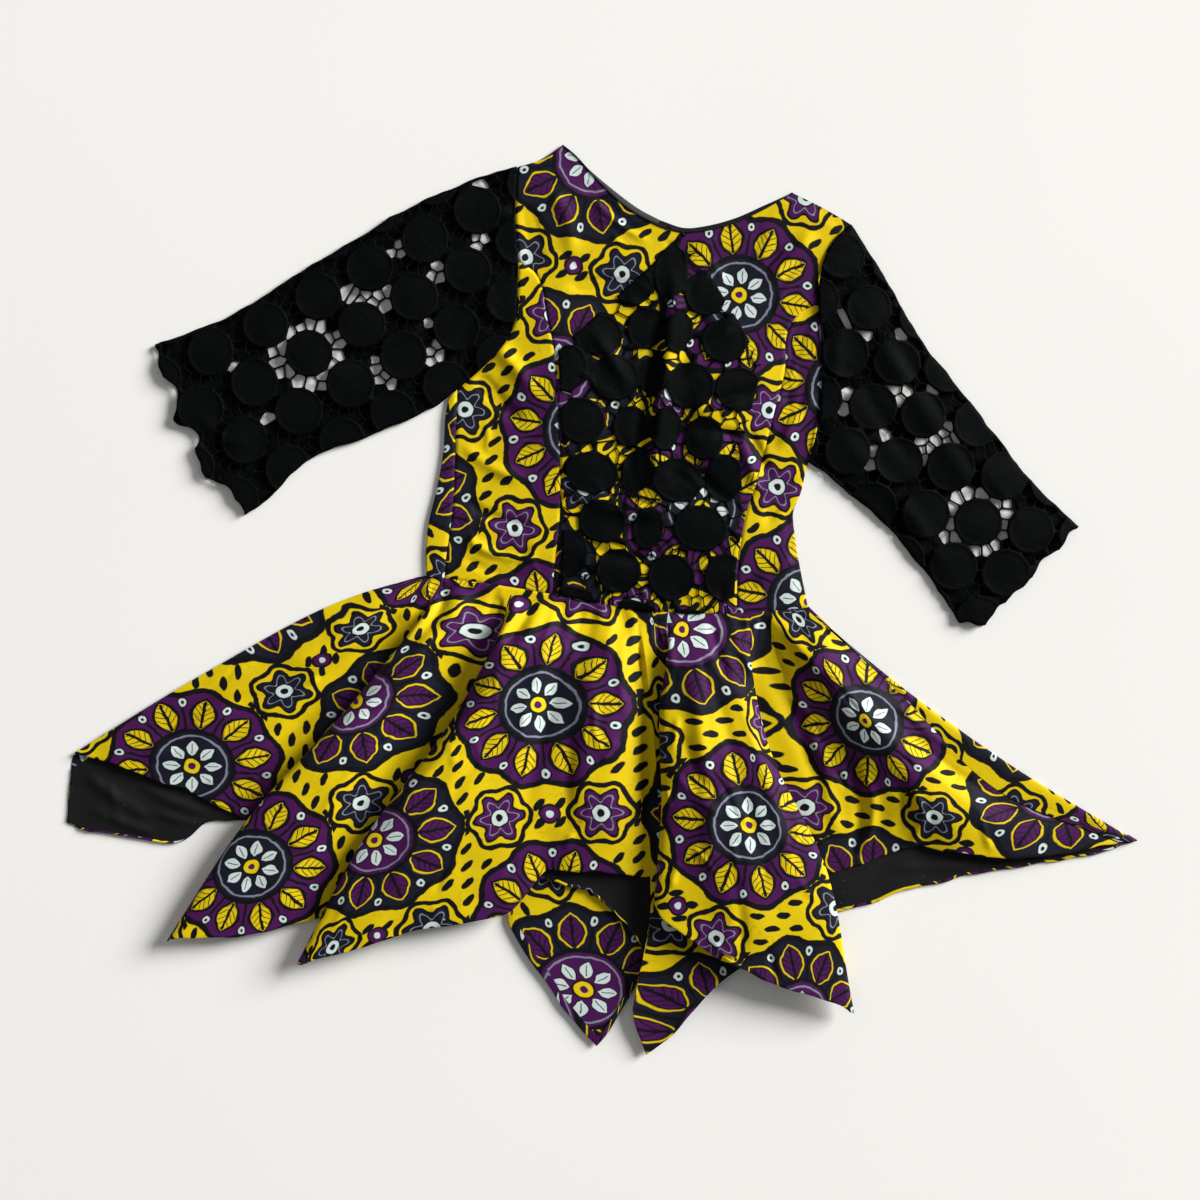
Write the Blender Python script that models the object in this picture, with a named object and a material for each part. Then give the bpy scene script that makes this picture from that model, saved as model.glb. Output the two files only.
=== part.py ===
"""Short wax print dress with lace sleeves, laid flat on its back.

The garment lies in the XY plane with its resting face at z = 0, the neck toward +Y and the
hem toward -Y. Every sewn piece is one closed wall: a middle surface is worked out from the
tables below, in millimetres, and moved out by half the cloth's thickness to either side.

Bodice panels are four-sided patches between their seam lines. Each skirt half is a fan of
rays that run from the waist seam to the hem: a row gives where a ray starts at the waist, where
it passes at one and two thirds of its length, where it meets the hem, and how high it lies.
A fold row stands for six rays that turn the cloth under itself and back again.
"""
import bpy
import numpy as np

MM = 0.001
COTTON = 1.0
LACE = 1.5
FACING = 1.0
BINDING = 1.2
SEAM_GAP = 0.5
WAIST_GAP = 1.1
ARMHOLE_GAP = 0.8
LAYER_GAP = 0.3

BACK_Z = 0.5 * COTTON
FRONT_Z = 4.0
FRONT_EDGE_Z = 1.95
SLEEVE_LOW_Z = 0.5 * LACE
SLEEVE_HIGH_Z = 4.35
ROLL = 0.5 * (FRONT_Z - BACK_Z)

# seam and edge lines of the bodice, x and y in mm, from the waist up or from left to right
WAIST = ((-192, -12), (-175, -7), (-120, -4), (-78, -3), (-25, -3), (12, -4), (48, -3), (91, 2),
         (137, 10), (170, 18), (210, 30))
SIDE_LEFT = ((-175, -7), (-180, 19), (-182, 46), (-180, 80), (-180, 120), (-184, 154), (-184, 173))
SIDE_SEAM_LEFT = ((-157, -5), (-159, 18), (-160, 56), (-164, 92), (-169, 130), (-173, 156), (-177, 182))
SIDE_RIGHT = ((206, 29), (197, 52), (187, 78), (180, 99), (175, 120), (179, 140), (180, 158), (181, 172))
PRINCESS_LEFT = ((-48, -3), (-51, 30), (-54, 75), (-63, 129), (-75, 183), (-90, 242), (-102, 271),
                 (-110, 295), (-121, 311), (-139, 319))
PRINCESS_RIGHT = ((137, 10), (130, 57), (129, 112), (134, 145), (136, 174), (139, 218), (142, 258),
                  (138, 294), (146, 316), (163, 329))
ARMHOLE_LEFT_LOW = ((-177, 182), (-172, 188), (-155, 209), (-138, 236), (-132, 259), (-134, 285),
                    (-139, 319))
ARMHOLE_LEFT_HIGH = ((-139, 319), (-148, 354), (-154, 389), (-156, 412))
ARMHOLE_RIGHT_LOW = ((181, 172), (183, 187), (184, 216), (179, 262), (171, 301), (163, 329))
ARMHOLE_RIGHT_HIGH = ((163, 329), (161, 349), (161, 372), (168, 395), (182, 413))
SHOULDER_LEFT = ((-156, 412), (-135, 423), (-116, 441))
SHOULDER_RIGHT = ((119, 434), (143, 427), (164, 420), (182, 413))
NECK_BACK = ((-116, 441), (-73, 414), (-31, 392), (-7, 384), (18, 380.5), (39, 386), (67, 399), (94, 417),
             (119, 434))
NECK_FRONT = ((-116, 441), (-102, 433), (-72, 410), (-40, 390), (-6, 378), (17, 376), (40, 382),
              (68, 395), (95, 414), (119, 434))
LACE_LEFT = ((-41, -3), (-50, 72), (-60, 131), (-72, 183), (-84, 237))
LACE_TOP = ((-84, 237), (-37, 300), (-9, 336), (18, 371), (47, 343), (95, 289), (119, 257))
LACE_RIGHT = ((134, 9), (128, 57), (126, 112), (118, 143), (113, 168), (115, 203), (119, 257))

# sleeves: edge away from the body, edge toward the hem, scalloped cuff
SLEEVE_L_TOP = ((-157, 412), (-188, 397), (-261, 349), (-301, 314), (-348, 274), (-400, 226),
                (-427, 206), (-482, 174))
SLEEVE_L_UNDER = ((-178, 182), (-198, 160), (-224, 142), (-266, 115), (-299, 97), (-323, 74), (-340, 47),
                  (-364, 22))
SLEEVE_L_CUFF = ((-482, 174), (-474, 154), (-455, 133), (-446, 104), (-426, 91), (-413, 56), (-377, 41),
                 (-364, 22))
SLEEVE_R_TOP = ((182, 413), (222, 369), (271, 311), (319, 268), (360, 231), (403, 192), (458, 155))
SLEEVE_R_UNDER = ((181, 172), (197, 165), (237, 142), (262, 128), (286, 109), (331, 69), (357, 40))
SLEEVE_R_CUFF = ((458, 155), (426, 109), (410, 82), (396, 65), (376, 40), (357, 40))

# fullness of the bodice front: centre x, centre y, reach across, reach along, height
BUST = (
    ("left_cup", -72, 196, 46, 70, 7.5),
    ("right_cup", 84, 200, 40, 70, 7.5),
    ("midriff", 20, 70, 110, 60, 2.5),
)
# the soft pleat down the middle of the front: from, to, half width, height
CENTRE_PLEAT = ((17, 352), (37, 112), 13.0, 6.5)

RISE = 36.0
PLEAT_RISE = 72.0
FRONT_ROWS = np.array([0.0, 14.0, 26.0, 32.0, 38.0, 48.0, 64.0])
BACK_ROWS = np.array([0.0, 14.0, 28.0, 42.0, 58.0, 76.0, 96.0, 120.0])
FRONT_RISE_SHARE = 0.62
# the flutes of the front stand higher than their rows say, by a share of what is above the base
FLUTE_BASE = 5.0
FLUTE_GAIN = 0.85
FOLD_PITCH = 4.0
FOLD_INSET = 4.0
# ray: name, waist x, third point, second third point, hem point, heights at them, columns to the next
# fold: name, waist x, its edge's three points, side it turns to, hem lengths of its six rays,
#       overlap at the hem, heights of the lower layer, rise to the upper layer
SKIRT_FRONT = (
    ("side_left", -191, (-238, -36), (-372, -137), (-490, -241), (2.6, 3.4, 4.2), 2),
    ("a_upper", -183, (-271, -89), (-358, -167), (-446, -246), (7.5, 8.0, 7.0), 2),
    ("a_lower", -175, (-242, -91), (-309, -174), (-376, -257), (7.5, 7.5, 6.0), 2),
    ("fold_b", -149, (-225, -144), (-309, -279), (-367, -412), 1, (303, 330, 340, 440, 457, 452), 66,
     (5.0, 5.0, 4.5), (11.0, 11.0, 7.0)),
    ("b_mid", -132, (-187, -137), (-242, -265), (-297, -393), (16.5, 16.0, 10.0), 2),
    ("b_low", -118, (-159, -129), (-199, -248), (-240, -368), (9.0, 9.0, 7.0), 2),
    ("fold_c", -78, (-123, -140), (-192, -280), (-235, -412), 1, (345, 338, 346, 428, 434, 433), 58,
     (6.5, 6.5, 6.0), (12.0, 11.0, 7.0)),
    ("c_crest", -59, (-91, -134), (-132, -264), (-184, -387), (21.0, 20.0, 13.5), 2),
    ("c_mid", -43, (-71, -126), (-97, -246), (-135, -360), (18.0, 18.0, 12.5), 2),
    ("d_left", -20, (-25, -109), (-29, -214), (-34, -319), (13.0, 14.0, 12.0), 2),
    ("d_mid", 1, (-1, -92), (-3, -181), (-5, -272), (13.0, 14.0, 10.5), 2),
    ("d_crest", 19, (28, -90), (38, -178), (47, -266), (15.0, 15.5, 11.0), 2),
    ("d_right", 35, (61, -88), (84, -174), (97, -262), (9.5, 9.2, 8.8), 1),
    ("e_under_left", 40, (78, -130), (105, -267), (103, -395), (9.8, 10.0, 8.0), 1),
    ("e_under_tip", 45, (82, -143), (112, -290), (124, -438), (9.5, 9.5, 6.0), 2),
    ("e_under_mid", 51, (89, -130), (127, -258), (164, -385), (9.0, 9.5, 8.0), 2),
    ("fold_e", 77, (77, -95), (95, -189), (105, -288), 1, (300, 298, 297, 292, 286, 294), 112,
     (8.5, 8.5, 8.0), (10.0, 11.0, 9.0)),
    ("e_left", 91, (115, -106), (139, -215), (164, -324), (21.0, 22.0, 17.0), 2),
    ("e_mid", 104, (136, -108), (169, -222), (201, -335), (22.0, 23.5, 18.0), 2),
    ("e_right", 119, (164, -110), (209, -229), (254, -347), (20.0, 22.0, 16.0), 2),
    ("fold_f", 142, (191, -115), (267, -223), (317, -352), -1, (410, 414, 402, 325, 318, 296), 52,
     (5.5, 5.5, 5.5), (11.0, 11.0, 7.0)),
    ("f_left", 167, (202, -66), (238, -147), (273, -229), (6.0, 5.5, 5.0), 2),
    ("f_valley", 177, (224, -55), (271, -130), (318, -204), (8.5, 6.0, 4.6), 2),
    ("f_rise", 186, (243, -48), (299, -116), (355, -184), (14.0, 12.0, 6.5), 2),
    ("f_crest", 193, (264, -50), (337, -121), (418, -185), (15.0, 15.0, 9.0), 2),
    ("f_fall", 198, (285, -48), (372, -124), (476, -176), (11.0, 12.0, 8.0), 2),
    ("f_outer", 201, (300, -46), (398, -123), (521, -160), (7.5, 8.0, 6.5), 2),
    ("side_right", 204, (315, -43), (424, -119), (551, -149), (5.6, 5.4, 5.2), 1),
)
SKIRT_BACK = (
    ("side_left", -190, (-238, -38), (-372, -139), (-491, -244), (0.5, 0.5, 0.5), 2),
    ("flap_corner", -186, (-286, -107), (-387, -208), (-487, -311), (0.5, 0.5, 0.5), 1),
    ("flap_low", -180, (-274, -113), (-368, -215), (-462, -317), (0.5, 0.5, 0.5), 2),
    ("flap_right", -171, (-236, -108), (-301, -208), (-366, -307), (0.5, 0.5, 0.5), 1),
    ("flap_notch", -164, (-226, -101), (-288, -194), (-349, -287), (0.5, 0.5, 0.5), 1),
    ("under_b1", -155, (-204, -98), (-253, -187), (-302, -277), (0.5, 0.5, 0.5), 1),
    ("under_b2", -125, (-154, -103), (-184, -197), (-213, -291), (0.5, 0.5, 0.8), 1),
    ("under_c1", -85, (-97, -102), (-109, -198), (-121, -293), (0.5, 1.2, 2.2), 2),
    ("under_c2", -40, (-42, -97), (-44, -191), (-46, -284), (1.5, 3.0, 4.8), 2),
    ("bare_left", -23, (-13, -97), (-8, -191), (-5, -284), (3.4, 5.2, 5.3), 2),
    ("bare_mid", -6, (13, -98), (28, -193), (41, -287), (5.3, 5.3, 5.3), 1),
    ("bare_low", 6, (40, -109), (66, -215), (90, -321), (5.3, 5.3, 5.3), 1),
    ("bare_tip", 12, (50, -114), (79, -226), (105, -338), (5.3, 5.3, 5.3), 1),
    ("right_in", 20, (75, -109), (115, -215), (155, -318), (5.3, 5.3, 5.3, 5.3), 1),
    ("right_turn", 26, (78.5, -108), (118.5, -213), (158.5, -315), (4.9, 4.2, 4.2, 4.2), 1),
    ("right_out", 32, (75, -109), (114, -214), (154, -316), (4.2, 3.1, 3.1, 3.1), 1),
    ("tip_right", 42, (66, -124), (86, -249), (102, -373), (3.7, 3.05, 3.05, 3.05), 1),
    ("tip", 50, (58, -148), (67, -294), (74, -440), (3.0, 3.0, 3.0, 3.0), 1),
    ("tip_left", 58, (47, -142), (39, -281), (25, -397), (2.3, 2.9, 2.9, 2.9), 1),
    ("left_in", 70, (42, -111), (2, -222), (-35, -324), (1.6, 2.75, 2.75, 2.75), 1),
    ("left_turn", 78, (39, -110), (-1.5, -221), (-39, -323), (0.9, 1.6, 1.6, 1.6), 1),
    ("left_out", 86, (42, -110), (1.5, -222), (-36, -322), (0.5, 0.5, 0.5, 0.5), 1),
    ("under_d", 96, (90, -97), (77, -196), (64, -293), (0.5, 0.5, 0.5), 1),
    ("under_e", 115, (134, -88), (155, -184), (176, -279), (0.5, 0.5, 0.5), 2),
    ("band_left", 150, (196, -79), (242, -172), (288, -265), (0.5, 0.5, 0.5), 1),
    ("band_mid1", 170, (230, -66), (290, -149), (351, -232), (0.5, 0.5, 0.5), 1),
    ("band_mid2", 183, (258, -55), (332, -131), (406, -207), (0.5, 0.5, 0.5), 1),
    ("band_mid3", 194, (289, -45), (384, -113), (479, -181), (0.5, 0.5, 0.5), 1),
    ("band_right", 197, (312, -48), (423, -113), (533, -164), (0.5, 0.5, 0.5), 1),
    ("edge_low", 201, (339, -51), (425, -92), (565, -147), (0.5, 0.5, 0.5, 0.5), 1),
    ("edge_turn", 203.5, (342, -48.5), (428, -89), (569, -144), (1.6, 1.95, 1.95, 1.95), 1),
    ("edge_top", 206, (340, -50.5), (425, -91), (565, -145), (2.6, 3.4, 3.4, 3.4), 1),
    ("strip_seam", 208.5, (314, -43), (424, -118), (552, -148), (3.4, 3.4, 3.4, 3.4), 1),
)
# facings that show: first ray, share of the way to the next, last ray, share, depth above the hem
FACINGS = (
    ("hem_facing_left", "side_left", 0.35, "under_b1", 0.6, 92),
    ("hem_facing_centre", "under_c2", 0.6, "right_in", 0.0, 88),
    ("hem_facing_right", "under_e", 0.7, "edge_low", 0.0, 72),
)

# name, sRGB colour, roughness
LOOKS = {
    "wax_print_cotton": ((0.80, 0.66, 0.05), 0.62),
    "guipure_lace": ((0.012, 0.014, 0.016), 0.80),
    "black_facing": ((0.018, 0.018, 0.020), 0.85),
    "bias_binding": ((0.015, 0.015, 0.018), 0.75),
}


def smooth(x):
    x = np.clip(x, 0.0, 1.0)
    return x * x * (3.0 - 2.0 * x)


def tangents(knots, values):
    """Slope at each knot of the parabola through it and its neighbours."""
    step = np.diff(knots)[:, None]
    slope = np.diff(values, axis=0) / step
    out = np.empty_like(values)
    out[1:-1] = (slope[:-1] * step[1:] + slope[1:] * step[:-1]) / (step[1:] + step[:-1])
    out[0] = slope[0]
    out[-1] = slope[-1]
    return out


def hermite(knots, values, slopes, at):
    """Cubic through values at knots, carried on straight past either end."""
    k = np.clip(np.searchsorted(knots, at, side="right") - 1, 0, len(knots) - 2)
    h = (knots[k + 1] - knots[k])[:, None]
    u = ((at - knots[k]) / h[:, 0])[:, None]
    v = np.clip(u, 0.0, 1.0)
    p0, p1 = values[k], values[k + 1]
    m0, m1 = slopes[k] * h, slopes[k + 1] * h
    inside = ((2 * v**3 - 3 * v**2 + 1) * p0 + (v**3 - 2 * v**2 + v) * m0
              + (3 * v**2 - 2 * v**3) * p1 + (v**3 - v**2) * m1)
    return inside + np.where(u > 1, (u - 1) * m1, 0.0) + np.where(u < 0, u * m0, 0.0)


def curve(points, count):
    """Evenly spaced points on the smooth curve through a line's points."""
    p = np.array(points, float)
    knots = np.concatenate([[0.0], np.cumsum(np.linalg.norm(np.diff(p, axis=0), axis=1) ** 0.5)])
    fine = hermite(knots, p, tangents(knots, p), np.linspace(0, knots[-1], 40 * len(p)))
    run = np.concatenate([[0.0], np.cumsum(np.linalg.norm(np.diff(fine, axis=0), axis=1))])
    at = np.linspace(0, run[-1], count)
    return np.stack([np.interp(at, run, fine[:, 0]), np.interp(at, run, fine[:, 1])], axis=1)


def joined(*parts):
    """One line from several (points, count) runs that share their end points."""
    runs = [curve(points, count + 1) for points, count in parts]
    return np.concatenate([runs[0]] + [r[1:] for r in runs[1:]])


def moved(line, gap):
    """A line moved to its left by gap, as seen walking along it."""
    along = np.gradient(line, axis=0)
    along /= np.linalg.norm(along, axis=1)[:, None]
    return line + gap * np.stack([-along[:, 1], along[:, 0]], axis=1)


def waist_y(x):
    p = np.array(WAIST, float)
    return np.interp(x, p[:, 0], p[:, 1])


def waist_run(x0, x1, count):
    x = np.linspace(x0, x1, count + 1)
    return np.stack([x, waist_y(x)], axis=1)


def neck_front():
    """The front neckline, with a point right above the top of the lace."""
    return joined((NECK_FRONT[:6], 5), (NECK_FRONT[5:], 5))


def armhole_left():
    """From the underarm up to the shoulder, the same points for back, sleeve and front."""
    return np.concatenate([curve(ARMHOLE_LEFT_LOW, 7), curve(ARMHOLE_LEFT_HIGH, 4)[1:]])


def armhole_right():
    return np.concatenate([curve(ARMHOLE_RIGHT_LOW, 7), curve(ARMHOLE_RIGHT_HIGH, 4)[1:]])


def princess(line, corner):
    """A princess seam: seven steps up to the lace's corner, then four to the armhole."""
    return joined((line[:corner + 1], 7), (line[corner:], 4))


def patch(bottom, top, left, right, hold=1):
    """Points between four lines: rows run from bottom to top, columns from left to right.
    A larger hold keeps the bends of the left and right lines closer to those lines."""
    u = np.linspace(0, 1, len(bottom))[None, :, None]
    v = np.linspace(0, 1, len(left))[:, None, None]
    along = (1 - v) * bottom[None] + v * top[None]
    bend_left = left[:, None] - (1 - v) * bottom[0] - v * top[0]
    bend_right = right[:, None] - (1 - v) * bottom[-1] - v * top[-1]
    return along + (1 - u) ** hold * bend_left + u ** hold * bend_right


def distance_to(line, x, y):
    """Plain distance from points to a run of straight pieces."""
    p = np.array(line, float)
    best = np.full(np.shape(x), 1e9)
    for a, b in zip(p[:-1], p[1:]):
        d = b - a
        t = np.clip(((x - a[0]) * d[0] + (y - a[1]) * d[1]) / (d @ d), 0, 1)
        best = np.minimum(best, np.hypot(x - a[0] - t * d[0], y - a[1] - t * d[1]))
    return best


def front_height(x, y):
    """Height of the middle of the bodice front's cloth."""
    z = np.full(np.shape(x), FRONT_Z)
    for _, cx, cy, rx, ry, height in BUST:
        z = z + height * np.exp(-((x - cx) / rx) ** 2 - ((y - cy) / ry) ** 2)
    (x0, y0), (x1, y1), half, height = CENTRE_PLEAT
    t = (y0 - y) / (y0 - y1)
    line = x0 + (x1 - x0) * t
    z = z + height * np.exp(-((x - line) / half) ** 2) * smooth(t * 5) * smooth((1.15 - t) * 3)
    waist = smooth((y - waist_y(x)) / 45)
    z = FRONT_Z + (z - FRONT_Z) * waist
    shoulder = np.minimum(distance_to(SHOULDER_LEFT, x, y), distance_to(SHOULDER_RIGHT, x, y))
    side = distance_to(SIDE_RIGHT, x, y)
    neck = distance_to(NECK_FRONT, x, y)
    z = 3.0 + (z - 3.0) * smooth(neck / 22)
    return FRONT_EDGE_Z + (z - FRONT_EDGE_Z) * smooth(shoulder / 14) * smooth(side / 14)


def grid_quads(rows, cols, first=0):
    r, c = np.meshgrid(np.arange(rows - 1), np.arange(cols - 1), indexing="ij")
    a = (first + r * cols + c).ravel()
    return np.stack([a, a + 1, a + cols + 1, a + cols], axis=1)


def normals_of(points, quads):
    n = np.zeros_like(points)
    across = np.cross(points[quads[:, 2]] - points[quads[:, 0]], points[quads[:, 3]] - points[quads[:, 1]])
    for k in range(4):
        np.add.at(n, quads[:, k], across)
    return n / np.linalg.norm(n, axis=1)[:, None]


def halves(points, quads):
    """Each four-sided cell as two triangles, cut along its shorter diagonal."""
    a, b, c, d = quads.T
    first = np.linalg.norm(points[a] - points[c], axis=1) <= np.linalg.norm(points[b] - points[d], axis=1)
    one = np.where(first[:, None], np.stack([a, b, c], 1), np.stack([a, b, d], 1))
    two = np.where(first[:, None], np.stack([a, c, d], 1), np.stack([b, c, d], 1))
    return np.concatenate([one, two])


def wall(name, look, points, quads, thickness, normals=None, cells=None):
    """A closed solid: the surface moved out both ways, with a rim round every open edge."""
    n = normals_of(points, quads) if normals is None else normals
    count = len(points)
    both = np.concatenate([points + n * thickness / 2, points - n * thickness / 2]) * MM
    both[:, 2] = np.maximum(both[:, 2], 0.0)
    cells = halves(points, quads) if cells is None else cells
    edges = np.concatenate([cells[:, [k, (k + 1) % 3]] for k in range(3)])
    key = {(a, b) for a, b in edges.tolist()}
    rim = [(b, a, a + count, b + count) for a, b in edges.tolist() if (b, a) not in key]
    faces = cells.tolist() + (cells[:, ::-1] + count).tolist() + rim
    mesh = bpy.data.meshes.new(name)
    mesh.from_pydata(both.tolist(), [], faces)
    mesh.materials.append(material(look))
    mesh.validate()
    mesh.update()
    piece = bpy.data.objects.new(name, mesh)
    bpy.context.collection.objects.link(piece)
    return piece


def material(name):
    found = bpy.data.materials.get(name)
    if found:
        return found
    colour, roughness = LOOKS[name]
    mat = bpy.data.materials.new(name)
    mat.use_nodes = True
    shader = mat.node_tree.nodes["Principled BSDF"]
    shader.inputs["Base Color"].default_value = (*colour, 1.0)
    shader.inputs["Roughness"].default_value = roughness
    shader.inputs["Metallic"].default_value = 0.0
    return mat


def heights_along(length, start, heights, share):
    """Height as a function of the distance from the waist: a soft rise, then the row's heights.
    A row with four heights belongs to a pleat and gives its height at the end of a longer rise."""
    z1, z2, z3 = heights[-3:]
    pleat = len(heights) == 4
    risen = heights[0] if pleat else start + (z1 - start) * share
    knots = np.array([0.0, PLEAT_RISE if pleat else RISE, length / 3, 2 * length / 3, length])
    values = np.array([start, risen, z1, z2, z3])[:, None]
    slopes = tangents(knots, values)
    slopes[0] = 0.0
    if share == 1.0:
        slopes[1] = (values[2] - values[1]) / (knots[2] - knots[1])
    return lambda s: hermite(knots, values, slopes, np.clip(s, 0, length))[:, 0]


def path_of(x0, p1, p2, p3):
    """Plan position as a function of the distance from the waist, and the path's length."""
    p = np.array([(x0, waist_y(x0) - WAIST_GAP), p1, p2, p3], float)
    knots = np.concatenate([[0.0], np.cumsum(np.linalg.norm(np.diff(p, axis=0), axis=1))])
    slopes = tangents(knots, p)
    return (lambda s: hermite(knots, p, slopes, s)), knots[-1], p


def plain_ray(row, start, share):
    _, x0, p1, p2, p3, heights, steps = row
    place, length, _ = path_of(x0, p1, p2, p3)
    height = heights_along(length, start, heights, share)
    return row[0], (lambda s: np.column_stack([place(s), height(s)])), length, steps


def fold_rays(row, start, share):
    """Six rays that carry the cloth from one layer, under or over itself, to the next."""
    name, x0, p1, p2, p3, side, lengths, overlap, low, lift = row
    place, length, p = path_of(x0, p1, p2, p3)
    chord = (p[3] - p[0]) / np.linalg.norm(p[3] - p[0])
    across = np.array([-chord[1], chord[0]])
    middle = [a + 0.42 * b for a, b in zip(low, lift)]
    top = [a + b for a, b in zip(low, lift)]
    first = [(a + b) / 2 for a, b in zip(low, middle)]
    second = [(a + b) / 2 for a, b in zip(middle, top)]
    under = [m - 0.3 for m in middle]
    over = [m + 0.3 for m in middle]
    layers = ((low, 1, -1), (first, 1, 0), (under, 1, -1), (over, 0, 1), (second, 0, 0), (top, 0, 1))
    names = ("low", "turn", "under", "over", "edge", "top")
    order = range(6) if side > 0 else range(5, -1, -1)
    rays = []
    for i, k in enumerate(order):
        heights, far, inset = layers[k]
        at_waist = side * (k - 4.5) * FOLD_PITCH if side > 0 else (i - 0.5) * FOLD_PITCH
        own = lengths[i]
        height = heights_along(length, start, heights, share)

        def ray(s, far=far, inset=inset, at_waist=at_waist, height=height):
            reach = overlap * np.clip(s / length, 0, 1.2) ** 1.1
            tuck = np.minimum(FOLD_INSET, reach / 3)
            off = side * (far * reach + inset * tuck)
            mix = smooth(s / 60)
            off = (1 - mix) * at_waist + mix * off
            level = (1 - mix)[:, None] * np.array([1.0, 0.0]) + mix[:, None] * across
            plan = place(s) + off[:, None] * level
            plan[:, 1] += (1 - mix) * (waist_y(x0 + at_waist) - waist_y(x0))
            return np.column_stack([plan, height(s)])

        steps = (2, 2, 1, 2, 2, 1) if side > 0 else (2, 2, 1, 2, 2, 2)
        rays.append((name + "_" + names[k], ray, own, steps[i]))
    return rays


def fan(rows, start, share):
    rays = []
    for row in rows:
        z0 = start(row[1])
        rays += fold_rays(row, z0, share) if len(row) == 10 else [plain_ray(row, z0, share)]
    return rays


def raised(rays):
    """The rays of the front with their flutes at full height."""
    def higher(own):
        def ray(s):
            points = own(s)
            points[:, 2] += FLUTE_GAIN * np.maximum(points[:, 2] - FLUTE_BASE, 0.0)
            return points

        return ray

    return [(name, higher(own), length, steps) for name, own, length, steps in rays]


def drawn_in(rays, first, last):
    """The rays between two others leave the waist evenly spread between those two."""
    names = [r[0] for r in rays]
    i, j = names.index(first), names.index(last)
    out = list(rays)
    for k in range(i + 1, j):
        def ray(s, own=rays[k][1], w=(k - i) / (j - i)):
            between = (1 - w) * rays[i][1](s) + w * rays[j][1](s)
            mix = smooth((s - 60) / 70)[:, None]
            return (1 - mix) * between + mix * own(s)

        out[k] = (rays[k][0], ray, *rays[k][2:])
    return out


class Sheet:
    """A fan of rays as one smooth surface: t counts rays from the left, s runs from the waist."""

    def __init__(self, rays):
        self.names = [r[0] for r in rays]
        self.rays = [r[1] for r in rays]
        self.lengths = np.array([r[2] for r in rays], float)
        self.steps = [r[3] for r in rays]
        at = np.array([120.0, 200.0])
        gaps = [np.linalg.norm(b(at) - a(at), axis=1).mean() for a, b in zip(self.rays[:-1], self.rays[1:])]
        self.knots = np.concatenate([[0.0], np.cumsum(np.sqrt(np.maximum(gaps, 1.0)))])

    def hem(self, t):
        return np.interp(t, np.arange(len(self.rays)), self.lengths)

    def column(self, t, s):
        """Points at ray position t and the distances s."""
        k = int(min(max(np.floor(t), 0), len(self.rays) - 2))
        u = t - k
        lo, hi = max(k - 1, 0), min(k + 2, len(self.rays) - 1)
        pts = np.stack([self.rays[i](s) for i in range(lo, hi + 1)])
        kn = self.knots[lo:hi + 1]
        flat = pts.reshape(len(pts), -1)
        m = tangents(kn, flat)
        at = np.array([self.knots[k] + u * (self.knots[k + 1] - self.knots[k])])
        return hermite(kn, flat, m, at).reshape(-1, 3)

    def surface(self, columns, distances):
        """Grid of points and normals; distances(t) gives the rows of the column at t."""
        d = 1e-3
        last = len(self.rays) - 1.0
        points, normals = [], []
        for t in columns:
            s = distances(t)
            here = self.column(t, s)
            down = self.column(t, s + 0.5) - self.column(t, np.maximum(s - 0.5, 0))
            over = self.column(min(t + d, last), s) - self.column(max(t - d, 0.0), s)
            n = np.cross(down, over)
            points.append(here)
            normals.append(n / np.linalg.norm(n, axis=1)[:, None])
        return np.stack(points, axis=1), np.stack(normals, axis=1)

    def columns(self, first=0.0, last=None):
        last = len(self.rays) - 1.0 if last is None else last
        t = [first]
        for k in range(len(self.rays) - 1):
            for i in range(self.steps[k]):
                at = k + i / self.steps[k]
                if first + 0.2 < at < last - 0.2:
                    t.append(at)
        return t + [last]


def rows_to_hem(sheet, near, count):
    share = np.linspace(0, 1, count + 1)[1:]
    return lambda t: np.concatenate([near, near[-1] + (sheet.hem(t) - near[-1]) * share])


def sheet_wall(name, look, sheet, columns, distances, thickness, lift=0.0):
    points, normals = sheet.surface(columns, distances)
    rows, cols = points.shape[:2]
    flat = points.reshape(-1, 3) + lift * normals.reshape(-1, 3)
    return wall(name, look, flat, grid_quads(rows, cols)[:, ::-1], thickness, normals.reshape(-1, 3))


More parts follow.
